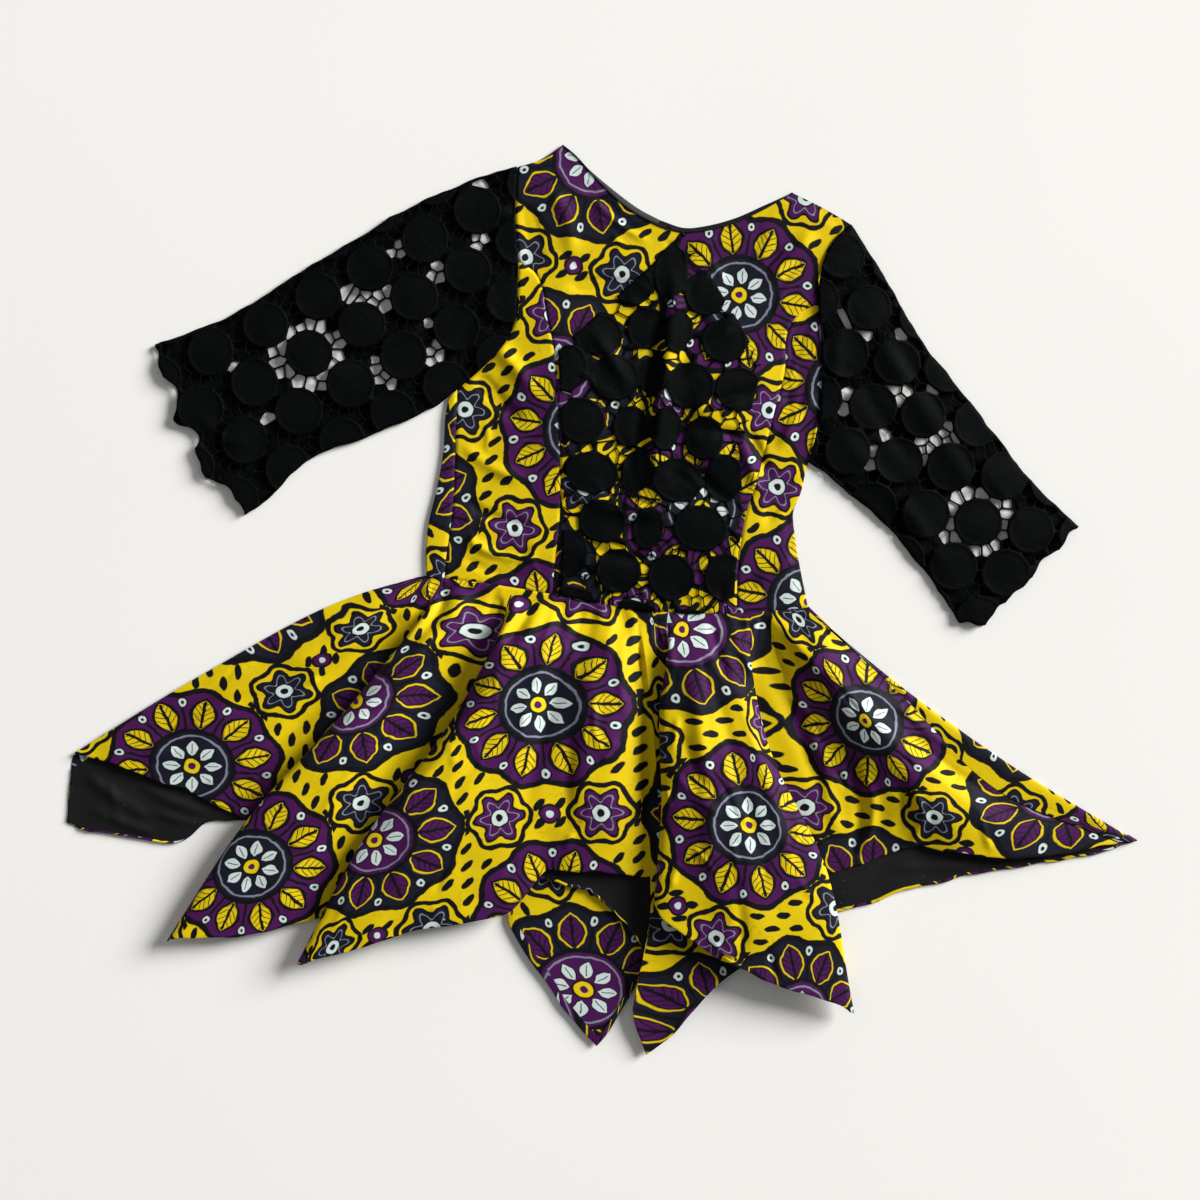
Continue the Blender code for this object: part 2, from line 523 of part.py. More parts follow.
def bodice_back():
    side, neck = 6, 8
    left = np.concatenate([curve(SIDE_LEFT, side + 1), armhole_left()])
    right = np.concatenate([curve(SIDE_RIGHT, side + 2), armhole_right()[1:]])
    top = joined((SHOULDER_LEFT, 2), (NECK_BACK, neck), (SHOULDER_RIGHT, 2))
    edge = left[:side + 1].copy()
    inner = left.copy()
    inner[:side + 1, 0] += ROLL
    bottom = waist_run(inner[0, 0], 206, neck + 4)
    bottom[-1] = right[0]
    plan = patch(bottom, top, inner, right)
    points = np.dstack([plan, np.full(plan.shape[:2], BACK_Z)])
    cols = points.shape[1]
    flat = points.reshape(-1, 3)
    quads = [grid_quads(*points.shape[:2])]
    seam = moved(curve(SIDE_SEAM_LEFT, side + 1), SEAM_GAP / 2)
    arc = []
    for angle in (45, 90, 135, 180):
        a = np.radians(angle)
        x = edge[:, 0] + ROLL * (1 - np.sin(a))
        arc.append(np.column_stack([x, edge[:, 1], np.full(side + 1, BACK_Z + ROLL * (1 - np.cos(a)))]))
    arc.append(np.column_stack([seam, np.full(side + 1, FRONT_Z)]))
    strip = np.stack(arc, axis=1)
    first = len(flat)
    flat = np.concatenate([flat, strip.reshape(-1, 3)])
    wide = strip.shape[1]
    for r in range(side):
        here = [r * cols] + [first + r * wide + c for c in range(wide)]
        above = [(r + 1) * cols] + [first + (r + 1) * wide + c for c in range(wide)]
        quads.append(np.array([(here[c + 1], here[c], above[c], above[c + 1]) for c in range(wide)]))
    return wall("bodice_back", "wax_print_cotton", flat, np.concatenate(quads), COTTON)


def on_front(plan):
    return np.dstack([plan, front_height(plan[..., 0], plan[..., 1])])


def front_side(name, bottom_xs, seam, side, top):
    bottom = waist_run(*bottom_xs, len(top) - 1)
    bottom[0], bottom[-1], top[0], top[-1] = seam[0], side[0], seam[-1], side[-1]
    points = on_front(patch(bottom, top, seam, side))
    return wall(name, "wax_print_cotton", points.reshape(-1, 3), grid_quads(*points.shape[:2]), COTTON)


def bodice_front():
    """The centre panel is a patch below the lace's edge and a patch above it; the lace is the
    lower patch's inner points, moved out."""
    half = SEAM_GAP / 2
    low, wide = 7, 12
    left, right = princess(PRINCESS_LEFT, 5), princess(PRINCESS_RIGHT, 6)
    centre_left, centre_right = moved(left, -half), moved(right, half)
    lace_left, lace_right = curve(LACE_LEFT, low + 1), curve(LACE_RIGHT, low + 1)
    lace_top = joined((LACE_TOP[:4], wide // 2), (LACE_TOP[3:], wide // 2))
    bottom = waist_run(LACE_LEFT[0][0], LACE_RIGHT[0][0], wide)
    bottom[0], bottom[-1] = lace_left[0], lace_right[0]
    inner = patch(bottom, lace_top, lace_left, lace_right)
    lower = np.concatenate([centre_left[:low + 1, None], inner, centre_right[:low + 1, None]], axis=1)
    up_left = np.concatenate([centre_left[low:], curve(ARMHOLE_LEFT_HIGH, 4)[1:]])
    up_right = np.concatenate([centre_right[low:], curve(ARMHOLE_RIGHT_HIGH, 4)[1:]])
    top = np.concatenate([curve(SHOULDER_LEFT, 3)[:-1], neck_front(), curve(SHOULDER_RIGHT, 3)[1:]])
    upper = patch(lower[-1], top, up_left, up_right, 6)
    points = on_front(np.concatenate([lower, upper[1:]]))
    quads = grid_quads(*points.shape[:2])
    flat = points.reshape(-1, 3)
    wall("bodice_front_centre", "wax_print_cotton", flat, quads, COTTON)

    normals = normals_of(flat, quads).reshape(points.shape)[:low + 1, 1:-1]
    under = points[:low + 1, 1:-1].reshape(-1, 3)
    lift = 0.5 * COTTON + LAYER_GAP + 0.1 + 0.5 * LACE
    quads = grid_quads(low + 1, wide + 1)
    out = normals.reshape(-1, 3)
    wall("lace_overlay", "guipure_lace", under + lift * out, quads, LACE, out, halves(under, quads))

    seam = refined(moved(curve(SIDE_SEAM_LEFT, 7), -half), len(left))
    front_side("bodice_front_side_left", (-157, -48), seam, moved(left, half), curve(ARMHOLE_LEFT_LOW, 7))
    armhole = curve(ARMHOLE_RIGHT_LOW, 7)
    side = np.concatenate([curve(SIDE_RIGHT, 8), armhole[1:5]])
    front_side("bodice_front_side_right", (137, 206), moved(right, -half), side, refined(armhole[:3:-1], 5))


def refined(line, count):
    """A run of straight pieces with points added on its longest pieces until it has count points."""
    line = [np.array(p, float) for p in line]
    while len(line) < count:
        gaps = [np.linalg.norm(b - a) for a, b in zip(line[:-1], line[1:])]
        k = int(np.argmax(gaps))
        line.insert(k + 1, (line[k] + line[k + 1]) / 2)
    return np.array(line)


def neck_binding():
    """A narrow strip set just outside the front neckline, on the panel's own points."""
    line = neck_front()
    inner = moved(line, SEAM_GAP)[1:-1]
    outer = moved(line, SEAM_GAP + 2.4)[1:-1]
    z = np.maximum(front_height(line[1:-1, 0], line[1:-1, 1]), BACK_Z + COTTON + LAYER_GAP + 0.2)
    points = np.stack([np.column_stack([inner, z]), np.column_stack([outer, z])], axis=0)
    return wall("neck_binding", "bias_binding", points.reshape(-1, 3), grid_quads(2, len(inner)), BINDING)


def sleeve(name, top, under, armhole, cuff, side):
    """A flattened tube: each section is a ring with an upper and a lower layer. The armhole
    runs from the shoulder to the underarm; side is 1 where the sleeve points to +X."""
    rows = 8
    turn = 0.5 * (SLEEVE_HIGH_Z - SLEEVE_LOW_Z)
    mid = 0.5 * (SLEEVE_HIGH_Z + SLEEVE_LOW_Z)
    start = moved(armhole, side * ARMHOLE_GAP)
    end = curve(cuff, len(start))
    over, under = curve(top, rows + 1), curve(under, rows + 1)
    over[0], under[0], over[-1], under[-1] = start[0], start[-1], end[0], end[-1]
    over_in, under_in = moved(over, -side * turn), moved(under, side * turn)
    start[0], start[-1], end[0], end[-1] = over_in[0], under_in[0], over_in[-1], under_in[-1]
    plan = patch(start, end, over_in, under_in)
    w = np.linspace(0, 1, len(start))
    ring = []
    for r in range(rows + 1):
        puff = 1.0 * np.sin(np.pi * w) * (0.6 + 0.4 * np.cos(2.3 * r + 5.0 * w))
        upper = np.column_stack([plan[r], SLEEVE_HIGH_Z + puff])
        lower = np.column_stack([plan[r], np.full(len(w), SLEEVE_LOW_Z)])[::-1]
        bends = []
        for inner, outer in ((under_in[r], under[r]), (over_in[r], over[r])):
            bends.append([(*(inner + (outer - inner) * np.sin(a)), mid + turn * np.cos(a))
                          for a in np.radians((45, 90, 135))])
        ring.append(np.concatenate([upper, bends[0], lower, bends[1][::-1]]))
    points = np.array(ring)
    n = points.shape[1]
    quads = np.array([(r * n + c, r * n + (c + 1) % n, (r + 1) * n + (c + 1) % n, (r + 1) * n + c)
                      for r in range(rows) for c in range(n)])
    if side < 0:
        quads = quads[:, ::-1]
    return wall(name, "guipure_lace", points.reshape(-1, 3), quads, LACE)


def front_start(x):
    """Height of the skirt front at the waist seam."""
    left, right = float(smooth((x + 180) / 20)), float(smooth((206 - x) / 14))
    return FRONT_EDGE_Z + (FRONT_Z - FRONT_EDGE_Z) * (0.27 + 0.73 * left) * right


def skirt():
    front = Sheet(raised(fan(SKIRT_FRONT, front_start, FRONT_RISE_SHARE)))
    back = Sheet(drawn_in(fan(SKIRT_BACK, lambda x: BACK_Z, 1.0), "right_out", "left_in"))
    front_rows, back_rows = rows_to_hem(front, FRONT_ROWS, 5), rows_to_hem(back, BACK_ROWS, 4)
    sheet_wall("skirt_front", "wax_print_cotton", front, front.columns(), front_rows, COTTON)
    sheet_wall("skirt_back", "wax_print_cotton", back, back.columns(), back_rows, COTTON)
    lift = 0.5 * COTTON + LAYER_GAP + 0.15 + 0.5 * FACING
    for name, first, a, last, b, depth in FACINGS:
        t0 = back.names.index(first) + a
        t1 = back.names.index(last) + b
        share = np.linspace(0, 1, 4)
        rows = (lambda depth: lambda t: back.hem(t) - depth + (depth - 1.5) * share)(depth)
        sheet_wall(name, "black_facing", back, back.columns(t0, t1), rows, FACING, lift)


def main():
    for old in list(bpy.data.objects):
        bpy.data.objects.remove(old, do_unlink=True)
    bodice_back()
    bodice_front()
    neck_binding()
    sleeve("sleeve_left", SLEEVE_L_TOP, SLEEVE_L_UNDER, armhole_left()[::-1], SLEEVE_L_CUFF, -1)
    sleeve("sleeve_right", SLEEVE_R_TOP, SLEEVE_R_UNDER, armhole_right()[::-1], SLEEVE_R_CUFF, 1)
    skirt()
    pieces = list(bpy.data.objects)
    corners = np.array([v.co[:] for p in pieces for v in p.data.vertices])
    low, high = corners.min(axis=0), corners.max(axis=0)
    shift = np.array([(low[0] + high[0]) / 2, (low[1] + high[1]) / 2, low[2]])
    for p in pieces:
        for v in p.data.vertices:
            v.co = [float(a) for a in np.array(v.co[:]) - shift]
        p.data.update()


main()
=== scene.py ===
"""Looks of the short wax print dress laid flat: cloth shells, lace, print, light and camera.

Lengths are in millimetres on the surface the dress lies on, x to the right and y from hem to
neck, until make_mesh() turns them into metres in the frame's own place. The seam lines, the rays
of the skirt and the heights are the solids' own. Flat panels are outlines filled with fine
triangles and raised by a height for each place; the skirt's two halves are fine grids on the same
rays; the lace has real holes, discs and cords.
"""

import math

import bpy
import numpy as np
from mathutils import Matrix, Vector
from mathutils.geometry import delaunay_2d_cdt


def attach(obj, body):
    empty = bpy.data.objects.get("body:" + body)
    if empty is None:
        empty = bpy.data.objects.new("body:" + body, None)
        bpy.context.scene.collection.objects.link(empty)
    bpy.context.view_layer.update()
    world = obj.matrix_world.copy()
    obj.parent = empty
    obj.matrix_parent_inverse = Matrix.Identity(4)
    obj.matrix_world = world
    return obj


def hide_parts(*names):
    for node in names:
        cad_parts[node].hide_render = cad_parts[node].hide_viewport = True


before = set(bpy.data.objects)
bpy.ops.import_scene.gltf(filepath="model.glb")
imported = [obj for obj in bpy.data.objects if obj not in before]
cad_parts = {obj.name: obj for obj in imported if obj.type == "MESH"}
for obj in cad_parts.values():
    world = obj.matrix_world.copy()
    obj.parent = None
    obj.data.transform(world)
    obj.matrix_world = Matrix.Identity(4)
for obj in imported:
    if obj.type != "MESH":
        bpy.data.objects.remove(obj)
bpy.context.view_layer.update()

MM = 0.001
ORIGIN = np.array([39.089, 0.515, 0.0])

COTTON = 1.0
LACE = 1.5
FACING = 1.0
WAIST_GAP = 1.1
LAYER_GAP = 0.3
LOWEST = 0.3

BACK_Z = 0.5 * COTTON
FRONT_Z = 4.0
FRONT_EDGE_Z = 1.95
SLEEVE_LOW_Z = 0.5 * LACE
SLEEVE_HIGH_Z = 4.35
ROLL = 0.5 * (FRONT_Z - BACK_Z)

# seam and edge lines of the bodice, x and y in mm, from the waist up or from left to right
WAIST = ((-192, -12), (-175, -7), (-120, -4), (-78, -3), (-25, -3), (12, -4), (48, -3), (91, 2),
         (137, 10), (170, 18), (210, 30))
SIDE_LEFT = ((-175, -7), (-180, 19), (-182, 46), (-180, 80), (-180, 120), (-184, 154), (-184, 173))
SIDE_SEAM_LEFT = ((-157, -5), (-159, 18), (-160, 56), (-164, 92), (-169, 130), (-173, 156),
                  (-177, 182))
SIDE_RIGHT = ((206, 29), (197, 52), (187, 78), (180, 99), (175, 120), (179, 140), (180, 158),
              (181, 172))
PRINCESS_LEFT = ((-48, -3), (-51, 30), (-54, 75), (-63, 129), (-75, 183), (-90, 242), (-102, 271),
                 (-110, 295), (-121, 311), (-139, 319))
PRINCESS_RIGHT = ((137, 10), (130, 57), (129, 112), (134, 145), (136, 174), (139, 218), (142, 258),
                  (138, 294), (146, 316), (163, 329))
ARMHOLE_LEFT_LOW = ((-177, 182), (-172, 188), (-155, 209), (-138, 236), (-132, 259), (-134, 285),
                    (-139, 319))
ARMHOLE_LEFT_HIGH = ((-139, 319), (-148, 354), (-154, 389), (-156, 412))
ARMHOLE_RIGHT_LOW = ((181, 172), (183, 187), (184, 216), (179, 262), (171, 301), (163, 329))
ARMHOLE_RIGHT_HIGH = ((163, 329), (161, 349), (161, 372), (168, 395), (182, 413))
SHOULDER_LEFT = ((-156, 412), (-135, 423), (-116, 441))
SHOULDER_RIGHT = ((119, 434), (143, 427), (164, 420), (182, 413))
NECK_BACK = ((-116, 441), (-73, 414), (-31, 392), (-7, 384), (18, 380.5), (39, 386), (67, 399),
             (94, 417), (119, 434))
NECK_FRONT = ((-116, 441), (-102, 433), (-72, 410), (-40, 390), (-6, 378), (17, 376), (40, 382),
              (68, 395), (95, 414), (119, 434))
LACE_LEFT = ((-41, -3), (-50, 72), (-60, 131), (-72, 183), (-84, 237))
LACE_TOP = ((-84, 237), (-37, 300), (-9, 336), (18, 371), (47, 343), (95, 289), (119, 257))
LACE_RIGHT = ((134, 9), (128, 57), (126, 112), (118, 143), (113, 168), (115, 203), (119, 257))

# sleeves: edge away from the body, edge toward the hem, scalloped cuff
SLEEVE_L_TOP = ((-157, 412), (-188, 397), (-261, 349), (-301, 314), (-348, 274), (-400, 226),
                (-427, 206), (-482, 174))
SLEEVE_L_UNDER = ((-178, 182), (-198, 160), (-224, 142), (-266, 115), (-299, 97), (-323, 74),
                  (-340, 47), (-364, 22))
SLEEVE_L_CUFF = ((-482, 174), (-474, 154), (-455, 133), (-446, 104), (-426, 91), (-413, 56),
                 (-377, 41), (-364, 22))
SLEEVE_R_TOP = ((182, 413), (222, 369), (271, 311), (319, 268), (360, 231), (403, 192), (458, 155))
SLEEVE_R_UNDER = ((181, 172), (197, 165), (237, 142), (262, 128), (286, 109), (331, 69), (357, 40))
SLEEVE_R_CUFF = ((458, 155), (426, 109), (410, 82), (396, 65), (376, 40), (357, 40))

# fullness of the bodice front, two cups and the midriff: centre x and y, reach across and along,
# height
BUST = ((-72, 196, 46, 70, 7.5), (84, 200, 40, 70, 7.5), (20, 70, 110, 60, 2.5))
# the soft pleat down the middle of the front: from, to, half width, height
CENTRE_PLEAT = ((17, 352), (37, 112), 13.0, 6.5)
# how far from the waist, the neck and the other edges the front is at its full height
WAIST_SLOPE = 45
NECK_SLOPE = 22
SIDE_SLOPE = 14
NECK_Z = 3.0
FAR_OFF = 1e9

RISE = 36.0
PLEAT_RISE = 72.0
FRONT_RISE_SHARE = 0.62
# the flutes of the front stand higher than their rows say, by a share of what is above the base
FLUTE_BASE = 5.0
FLUTE_GAIN = 0.85
# folds leave the waist at an even pitch and lie as they should from FOLD_SET on
FOLD_PITCH = 4.0
FOLD_INSET = 4.0
FOLD_SET = 60
# rays drawn in at the waist stay so up to DRAWN_FROM and are free DRAWN_OVER further on
DRAWN_FROM = 60
DRAWN_OVER = 70
# ray: name, waist x, third point, second third point, hem point, heights at them
# fold: name, waist x, its edge's three points, side it turns to, hem lengths of its six rays,
#       overlap at the hem, heights of the lower layer, rise to the upper layer
SKIRT_FRONT = (
    ("side_left", -191, (-238, -36), (-372, -137), (-490, -241), (2.6, 3.4, 4.2)),
    ("a_upper", -183, (-271, -89), (-358, -167), (-446, -246), (7.5, 8.0, 7.0)),
    ("a_lower", -175, (-242, -91), (-309, -174), (-376, -257), (7.5, 7.5, 6.0)),
    ("fold_b", -149, (-225, -144), (-309, -279), (-367, -412), 1,
     (303, 330, 340, 440, 457, 452), 66, (5.0, 5.0, 4.5), (11.0, 11.0, 7.0)),
    ("b_mid", -132, (-187, -137), (-242, -265), (-297, -393), (16.5, 16.0, 10.0)),
    ("b_low", -118, (-159, -129), (-199, -248), (-240, -368), (9.0, 9.0, 7.0)),
    ("fold_c", -78, (-123, -140), (-192, -280), (-235, -412), 1,
     (345, 338, 346, 428, 434, 433), 58, (6.5, 6.5, 6.0), (12.0, 11.0, 7.0)),
    ("c_crest", -59, (-91, -134), (-132, -264), (-184, -387), (21.0, 20.0, 13.5)),
    ("c_mid", -43, (-71, -126), (-97, -246), (-135, -360), (18.0, 18.0, 12.5)),
    ("d_left", -20, (-25, -109), (-29, -214), (-34, -319), (13.0, 14.0, 12.0)),
    ("d_mid", 1, (-1, -92), (-3, -181), (-5, -272), (13.0, 14.0, 10.5)),
    ("d_crest", 19, (28, -90), (38, -178), (47, -266), (15.0, 15.5, 11.0)),
    ("d_right", 35, (61, -88), (84, -174), (97, -262), (9.5, 9.2, 8.8)),
    ("e_under_left", 40, (78, -130), (105, -267), (103, -395), (9.8, 10.0, 8.0)),
    ("e_under_tip", 45, (82, -143), (112, -290), (124, -438), (9.5, 9.5, 6.0)),
    ("e_under_mid", 51, (89, -130), (127, -258), (164, -385), (9.0, 9.5, 8.0)),
    ("fold_e", 77, (77, -95), (95, -189), (105, -288), 1,
     (300, 298, 297, 292, 286, 294), 112, (8.5, 8.5, 8.0), (10.0, 11.0, 9.0)),
    ("e_left", 91, (115, -106), (139, -215), (164, -324), (21.0, 22.0, 17.0)),
    ("e_mid", 104, (136, -108), (169, -222), (201, -335), (22.0, 23.5, 18.0)),
    ("e_right", 119, (164, -110), (209, -229), (254, -347), (20.0, 22.0, 16.0)),
    ("fold_f", 142, (191, -115), (267, -223), (317, -352), -1,
     (410, 414, 402, 325, 318, 296), 52, (5.5, 5.5, 5.5), (11.0, 11.0, 7.0)),
    ("f_left", 167, (202, -66), (238, -147), (273, -229), (6.0, 5.5, 5.0)),
    ("f_valley", 177, (224, -55), (271, -130), (318, -204), (8.5, 6.0, 4.6)),
    ("f_rise", 186, (243, -48), (299, -116), (355, -184), (14.0, 12.0, 6.5)),
    ("f_crest", 193, (264, -50), (337, -121), (418, -185), (15.0, 15.0, 9.0)),
    ("f_fall", 198, (285, -48), (372, -124), (476, -176), (11.0, 12.0, 8.0)),
    ("f_outer", 201, (300, -46), (398, -123), (521, -160), (7.5, 8.0, 6.5)),
    ("side_right", 204, (315, -43), (424, -119), (551, -149), (5.6, 5.4, 5.2)),
)
# heights of a ray that lies flat on the floor, plain and in a pleat
FLAT = 3 * (0.5,)
FLAT_4 = 4 * (0.5,)
SKIRT_BACK = (
    ("side_left", -190, (-238, -38), (-372, -139), (-491, -244), FLAT),
    ("flap_corner", -186, (-286, -107), (-387, -208), (-487, -311), FLAT),
    ("flap_low", -180, (-274, -113), (-368, -215), (-462, -317), FLAT),
    ("flap_right", -171, (-236, -108), (-301, -208), (-366, -307), FLAT),
    ("flap_notch", -164, (-226, -101), (-288, -194), (-349, -287), FLAT),
    ("under_b1", -155, (-204, -98), (-253, -187), (-302, -277), FLAT),
    ("under_b2", -125, (-154, -103), (-184, -197), (-213, -291), (0.5, 0.5, 0.8)),
    ("under_c1", -85, (-97, -102), (-109, -198), (-121, -293), (0.5, 1.2, 2.2)),
    ("under_c2", -40, (-42, -97), (-44, -191), (-46, -284), (1.5, 3.0, 4.8)),
    ("bare_left", -23, (-13, -97), (-8, -191), (-5, -284), (3.4, 5.2, 5.3)),
    ("bare_mid", -6, (13, -98), (28, -193), (41, -287), (5.3, 5.3, 5.3)),
    ("bare_low", 6, (40, -109), (66, -215), (90, -321), (5.3, 5.3, 5.3)),
    ("bare_tip", 12, (50, -114), (79, -226), (105, -338), (5.3, 5.3, 5.3)),
    ("right_in", 20, (75, -109), (115, -215), (155, -318), (5.3, 5.3, 5.3, 5.3)),
    ("right_turn", 26, (78.5, -108), (118.5, -213), (158.5, -315), (4.9, 4.2, 4.2, 4.2)),
    ("right_out", 32, (75, -109), (114, -214), (154, -316), (4.2, 3.1, 3.1, 3.1)),
    ("tip_right", 42, (66, -124), (86, -249), (102, -373), (3.7, 3.05, 3.05, 3.05)),
    ("tip", 50, (58, -148), (67, -294), (74, -440), (3.0, 3.0, 3.0, 3.0)),
    ("tip_left", 58, (47, -142), (39, -281), (25, -397), (2.3, 2.9, 2.9, 2.9)),
    ("left_in", 70, (42, -111), (2, -222), (-35, -324), (1.6, 2.75, 2.75, 2.75)),
    ("left_turn", 78, (39, -110), (-1.5, -221), (-39, -323), (0.9, 1.6, 1.6, 1.6)),
    ("left_out", 86, (42, -110), (1.5, -222), (-36, -322), FLAT_4),
    ("under_d", 96, (90, -97), (77, -196), (64, -293), FLAT),
    ("under_e", 115, (134, -88), (155, -184), (176, -279), FLAT),
    ("band_left", 150, (196, -79), (242, -172), (288, -265), FLAT),
    ("band_mid1", 170, (230, -66), (290, -149), (351, -232), FLAT),
    ("band_mid2", 183, (258, -55), (332, -131), (406, -207), FLAT),
    ("band_mid3", 194, (289, -45), (384, -113), (479, -181), FLAT),
    ("band_right", 197, (312, -48), (423, -113), (533, -164), FLAT),
    ("edge_low", 201, (339, -51), (425, -92), (565, -147), FLAT_4),
    ("edge_turn", 203.5, (342, -48.5), (428, -89), (569, -144), (1.6, 1.95, 1.95, 1.95)),
    ("edge_top", 206, (340, -50.5), (425, -91), (565, -145), (2.6, 3.4, 3.4, 3.4)),
    ("strip_seam", 208.5, (314, -43), (424, -118), (552, -148), (3.4, 3.4, 3.4, 3.4)),
)

# facings that show: first ray, share of the way to the next, last ray, share, depth above the hem,
# shares of the way along it between which the print comes round the hem
FACINGS = (
    ("hem_facing_left", "side_left", 0.2, "under_b1", 0.6, 92, 0.22, 0.58),
    ("hem_facing_centre", "under_c2", 0.6, "right_in", 0.0, 88, 0.0, 1.0),
    ("hem_facing_right", "under_e", 0.7, "edge_low", 0.0, 72, 0.0, 1.0),
)


def smooth(x):
    x = np.clip(x, 0.0, 1.0)
    return x * x * (3.0 - 2.0 * x)


def tangents(knots, values):
    """Slope at each knot of the parabola through it and its neighbours."""
    step = np.diff(knots)[:, None]
    slope = np.diff(values, axis=0) / step
    out = np.empty_like(values)
    out[1:-1] = (slope[:-1] * step[1:] + slope[1:] * step[:-1]) / (step[1:] + step[:-1])
    out[0] = slope[0]
    out[-1] = slope[-1]
    return out


def hermite(knots, values, slopes, at):
    """Cubic through values at knots, carried on straight past either end."""
    k = np.clip(np.searchsorted(knots, at, side="right") - 1, 0, len(knots) - 2)
    h = (knots[k + 1] - knots[k])[:, None]
    u = ((at - knots[k]) / h[:, 0])[:, None]
    v = np.clip(u, 0.0, 1.0)
    p0, p1 = values[k], values[k + 1]
    m0, m1 = slopes[k] * h, slopes[k + 1] * h
    inside = ((2 * v**3 - 3 * v**2 + 1) * p0 + (v**3 - 2 * v**2 + v) * m0
              + (3 * v**2 - 2 * v**3) * p1 + (v**3 - v**2) * m1)
    return inside + np.where(u > 1, (u - 1) * m1, 0.0) + np.where(u < 0, u * m0, 0.0)


def summed(steps):
    """The running sum of some steps, from zero on."""
    return np.concatenate([[0.0], np.cumsum(steps)])


def gaps_along(line):
    return np.linalg.norm(np.diff(line, axis=0), axis=1)


def run_of(line):
    """The way along a line up to each of its points."""
    return summed(gaps_along(line))


def unit(vectors):
    return vectors / np.linalg.norm(vectors, axis=-1)[..., None]


def left_of(along):
    """Unit vectors to the left of some directions in the plan."""
    along = unit(along)
    return np.column_stack([-along[:, 1], along[:, 0]])


def curve(points, count):
    """Evenly spaced points on the smooth curve through a line's points."""
    p = np.array(points, float)
    knots = summed(gaps_along(p) ** 0.5)
    fine = hermite(knots, p, tangents(knots, p), np.linspace(0, knots[-1], 40 * len(p)))
    run = run_of(fine)
    at = np.linspace(0, run[-1], count)
    return np.stack([np.interp(at, run, fine[:, 0]), np.interp(at, run, fine[:, 1])], axis=1)


def joined(*parts):
    """One line from several (points, count) runs that share their end points."""
    runs = [curve(points, count + 1) for points, count in parts]
    return np.concatenate([runs[0]] + [r[1:] for r in runs[1:]])


def waist_y(x):
    p = np.array(WAIST, float)
    return np.interp(x, p[:, 0], p[:, 1])


def waist_run(left, right, count):
    """Points along the waist from the foot of one line to the foot of another."""
    x = np.linspace(left[0][0], right[0][0], count + 1)
    return np.stack([x, waist_y(x)], axis=1)


def distance_to_piece(x, y, a, b):
    """Distance of points from one straight piece, and their share of the way along it."""
    d = b - a
    t = np.clip(((x - a[0]) * d[0] + (y - a[1]) * d[1]) / (d @ d), 0, 1)
    return np.hypot(x - a[0] - t * d[0], y - a[1] - t * d[1]), t


def distance_to(line, x, y):
    """Plain distance from points to a run of straight pieces."""
    p = np.array(line, float)
    best = np.full(np.shape(x), FAR_OFF)
    for a, b in zip(p[:-1], p[1:]):
        best = np.minimum(best, distance_to_piece(x, y, a, b)[0])
    return best


def front_height(x, y):
    """Height of the middle of the bodice front's cloth."""
    z = np.full(np.shape(x), FRONT_Z)
    for cx, cy, rx, ry, height in BUST:
        z = z + height * np.exp(-((x - cx) / rx) ** 2 - ((y - cy) / ry) ** 2)
    (x0, y0), (x1, y1), half, height = CENTRE_PLEAT
    t = (y0 - y) / (y0 - y1)
    line = x0 + (x1 - x0) * t
    z = z + height * np.exp(-((x - line) / half) ** 2) * smooth(t * 5) * smooth((1.15 - t) * 3)
    waist = smooth((y - waist_y(x)) / WAIST_SLOPE)
    z = FRONT_Z + (z - FRONT_Z) * waist
    shoulder = np.minimum(distance_to(SHOULDER_LEFT, x, y), distance_to(SHOULDER_RIGHT, x, y))
    side = distance_to(SIDE_RIGHT, x, y)
    neck = distance_to(NECK_FRONT, x, y)
    z = NECK_Z + (z - NECK_Z) * smooth(neck / NECK_SLOPE)
    edges = smooth(shoulder / SIDE_SLOPE) * smooth(side / SIDE_SLOPE)
    return FRONT_EDGE_Z + (z - FRONT_EDGE_Z) * edges


def grid_quads(rows, cols, first=0):
    r, c = np.meshgrid(np.arange(rows - 1), np.arange(cols - 1), indexing="ij")
    a = (first + r * cols + c).ravel()
    return np.stack([a, a + 1, a + cols + 1, a + cols], axis=1)


def heights_along(length, start, heights, share):
    """Height as a function of the distance from the waist: a soft rise, then the row's heights.
    A row with four heights belongs to a pleat and gives its height at the end of a longer rise."""
    z1, z2, z3 = heights[-3:]
    pleat = len(heights) == 4
    risen = heights[0] if pleat else start + (z1 - start) * share
    knots = np.array([0.0, PLEAT_RISE if pleat else RISE, length / 3, 2 * length / 3, length])
    values = np.array([start, risen, z1, z2, z3])[:, None]
    slopes = tangents(knots, values)
    slopes[0] = 0.0
    if share == 1.0:
        slopes[1] = (values[2] - values[1]) / (knots[2] - knots[1])
    return lambda s: hermite(knots, values, slopes, np.clip(s, 0, length))[:, 0]


def path_of(x0, p1, p2, p3):
    """Plan position as a function of the distance from the waist, and the path's length."""
    p = np.array([(x0, waist_y(x0) - WAIST_GAP), p1, p2, p3], float)
    knots = run_of(p)
    slopes = tangents(knots, p)
    return (lambda s: hermite(knots, p, slopes, s)), knots[-1], p


def plain_ray(row, start, share):
    name, x0, p1, p2, p3, heights = row
    place, length, _ = path_of(x0, p1, p2, p3)
    height = heights_along(length, start, heights, share)
    return name, (lambda s: np.column_stack([place(s), height(s)])), length


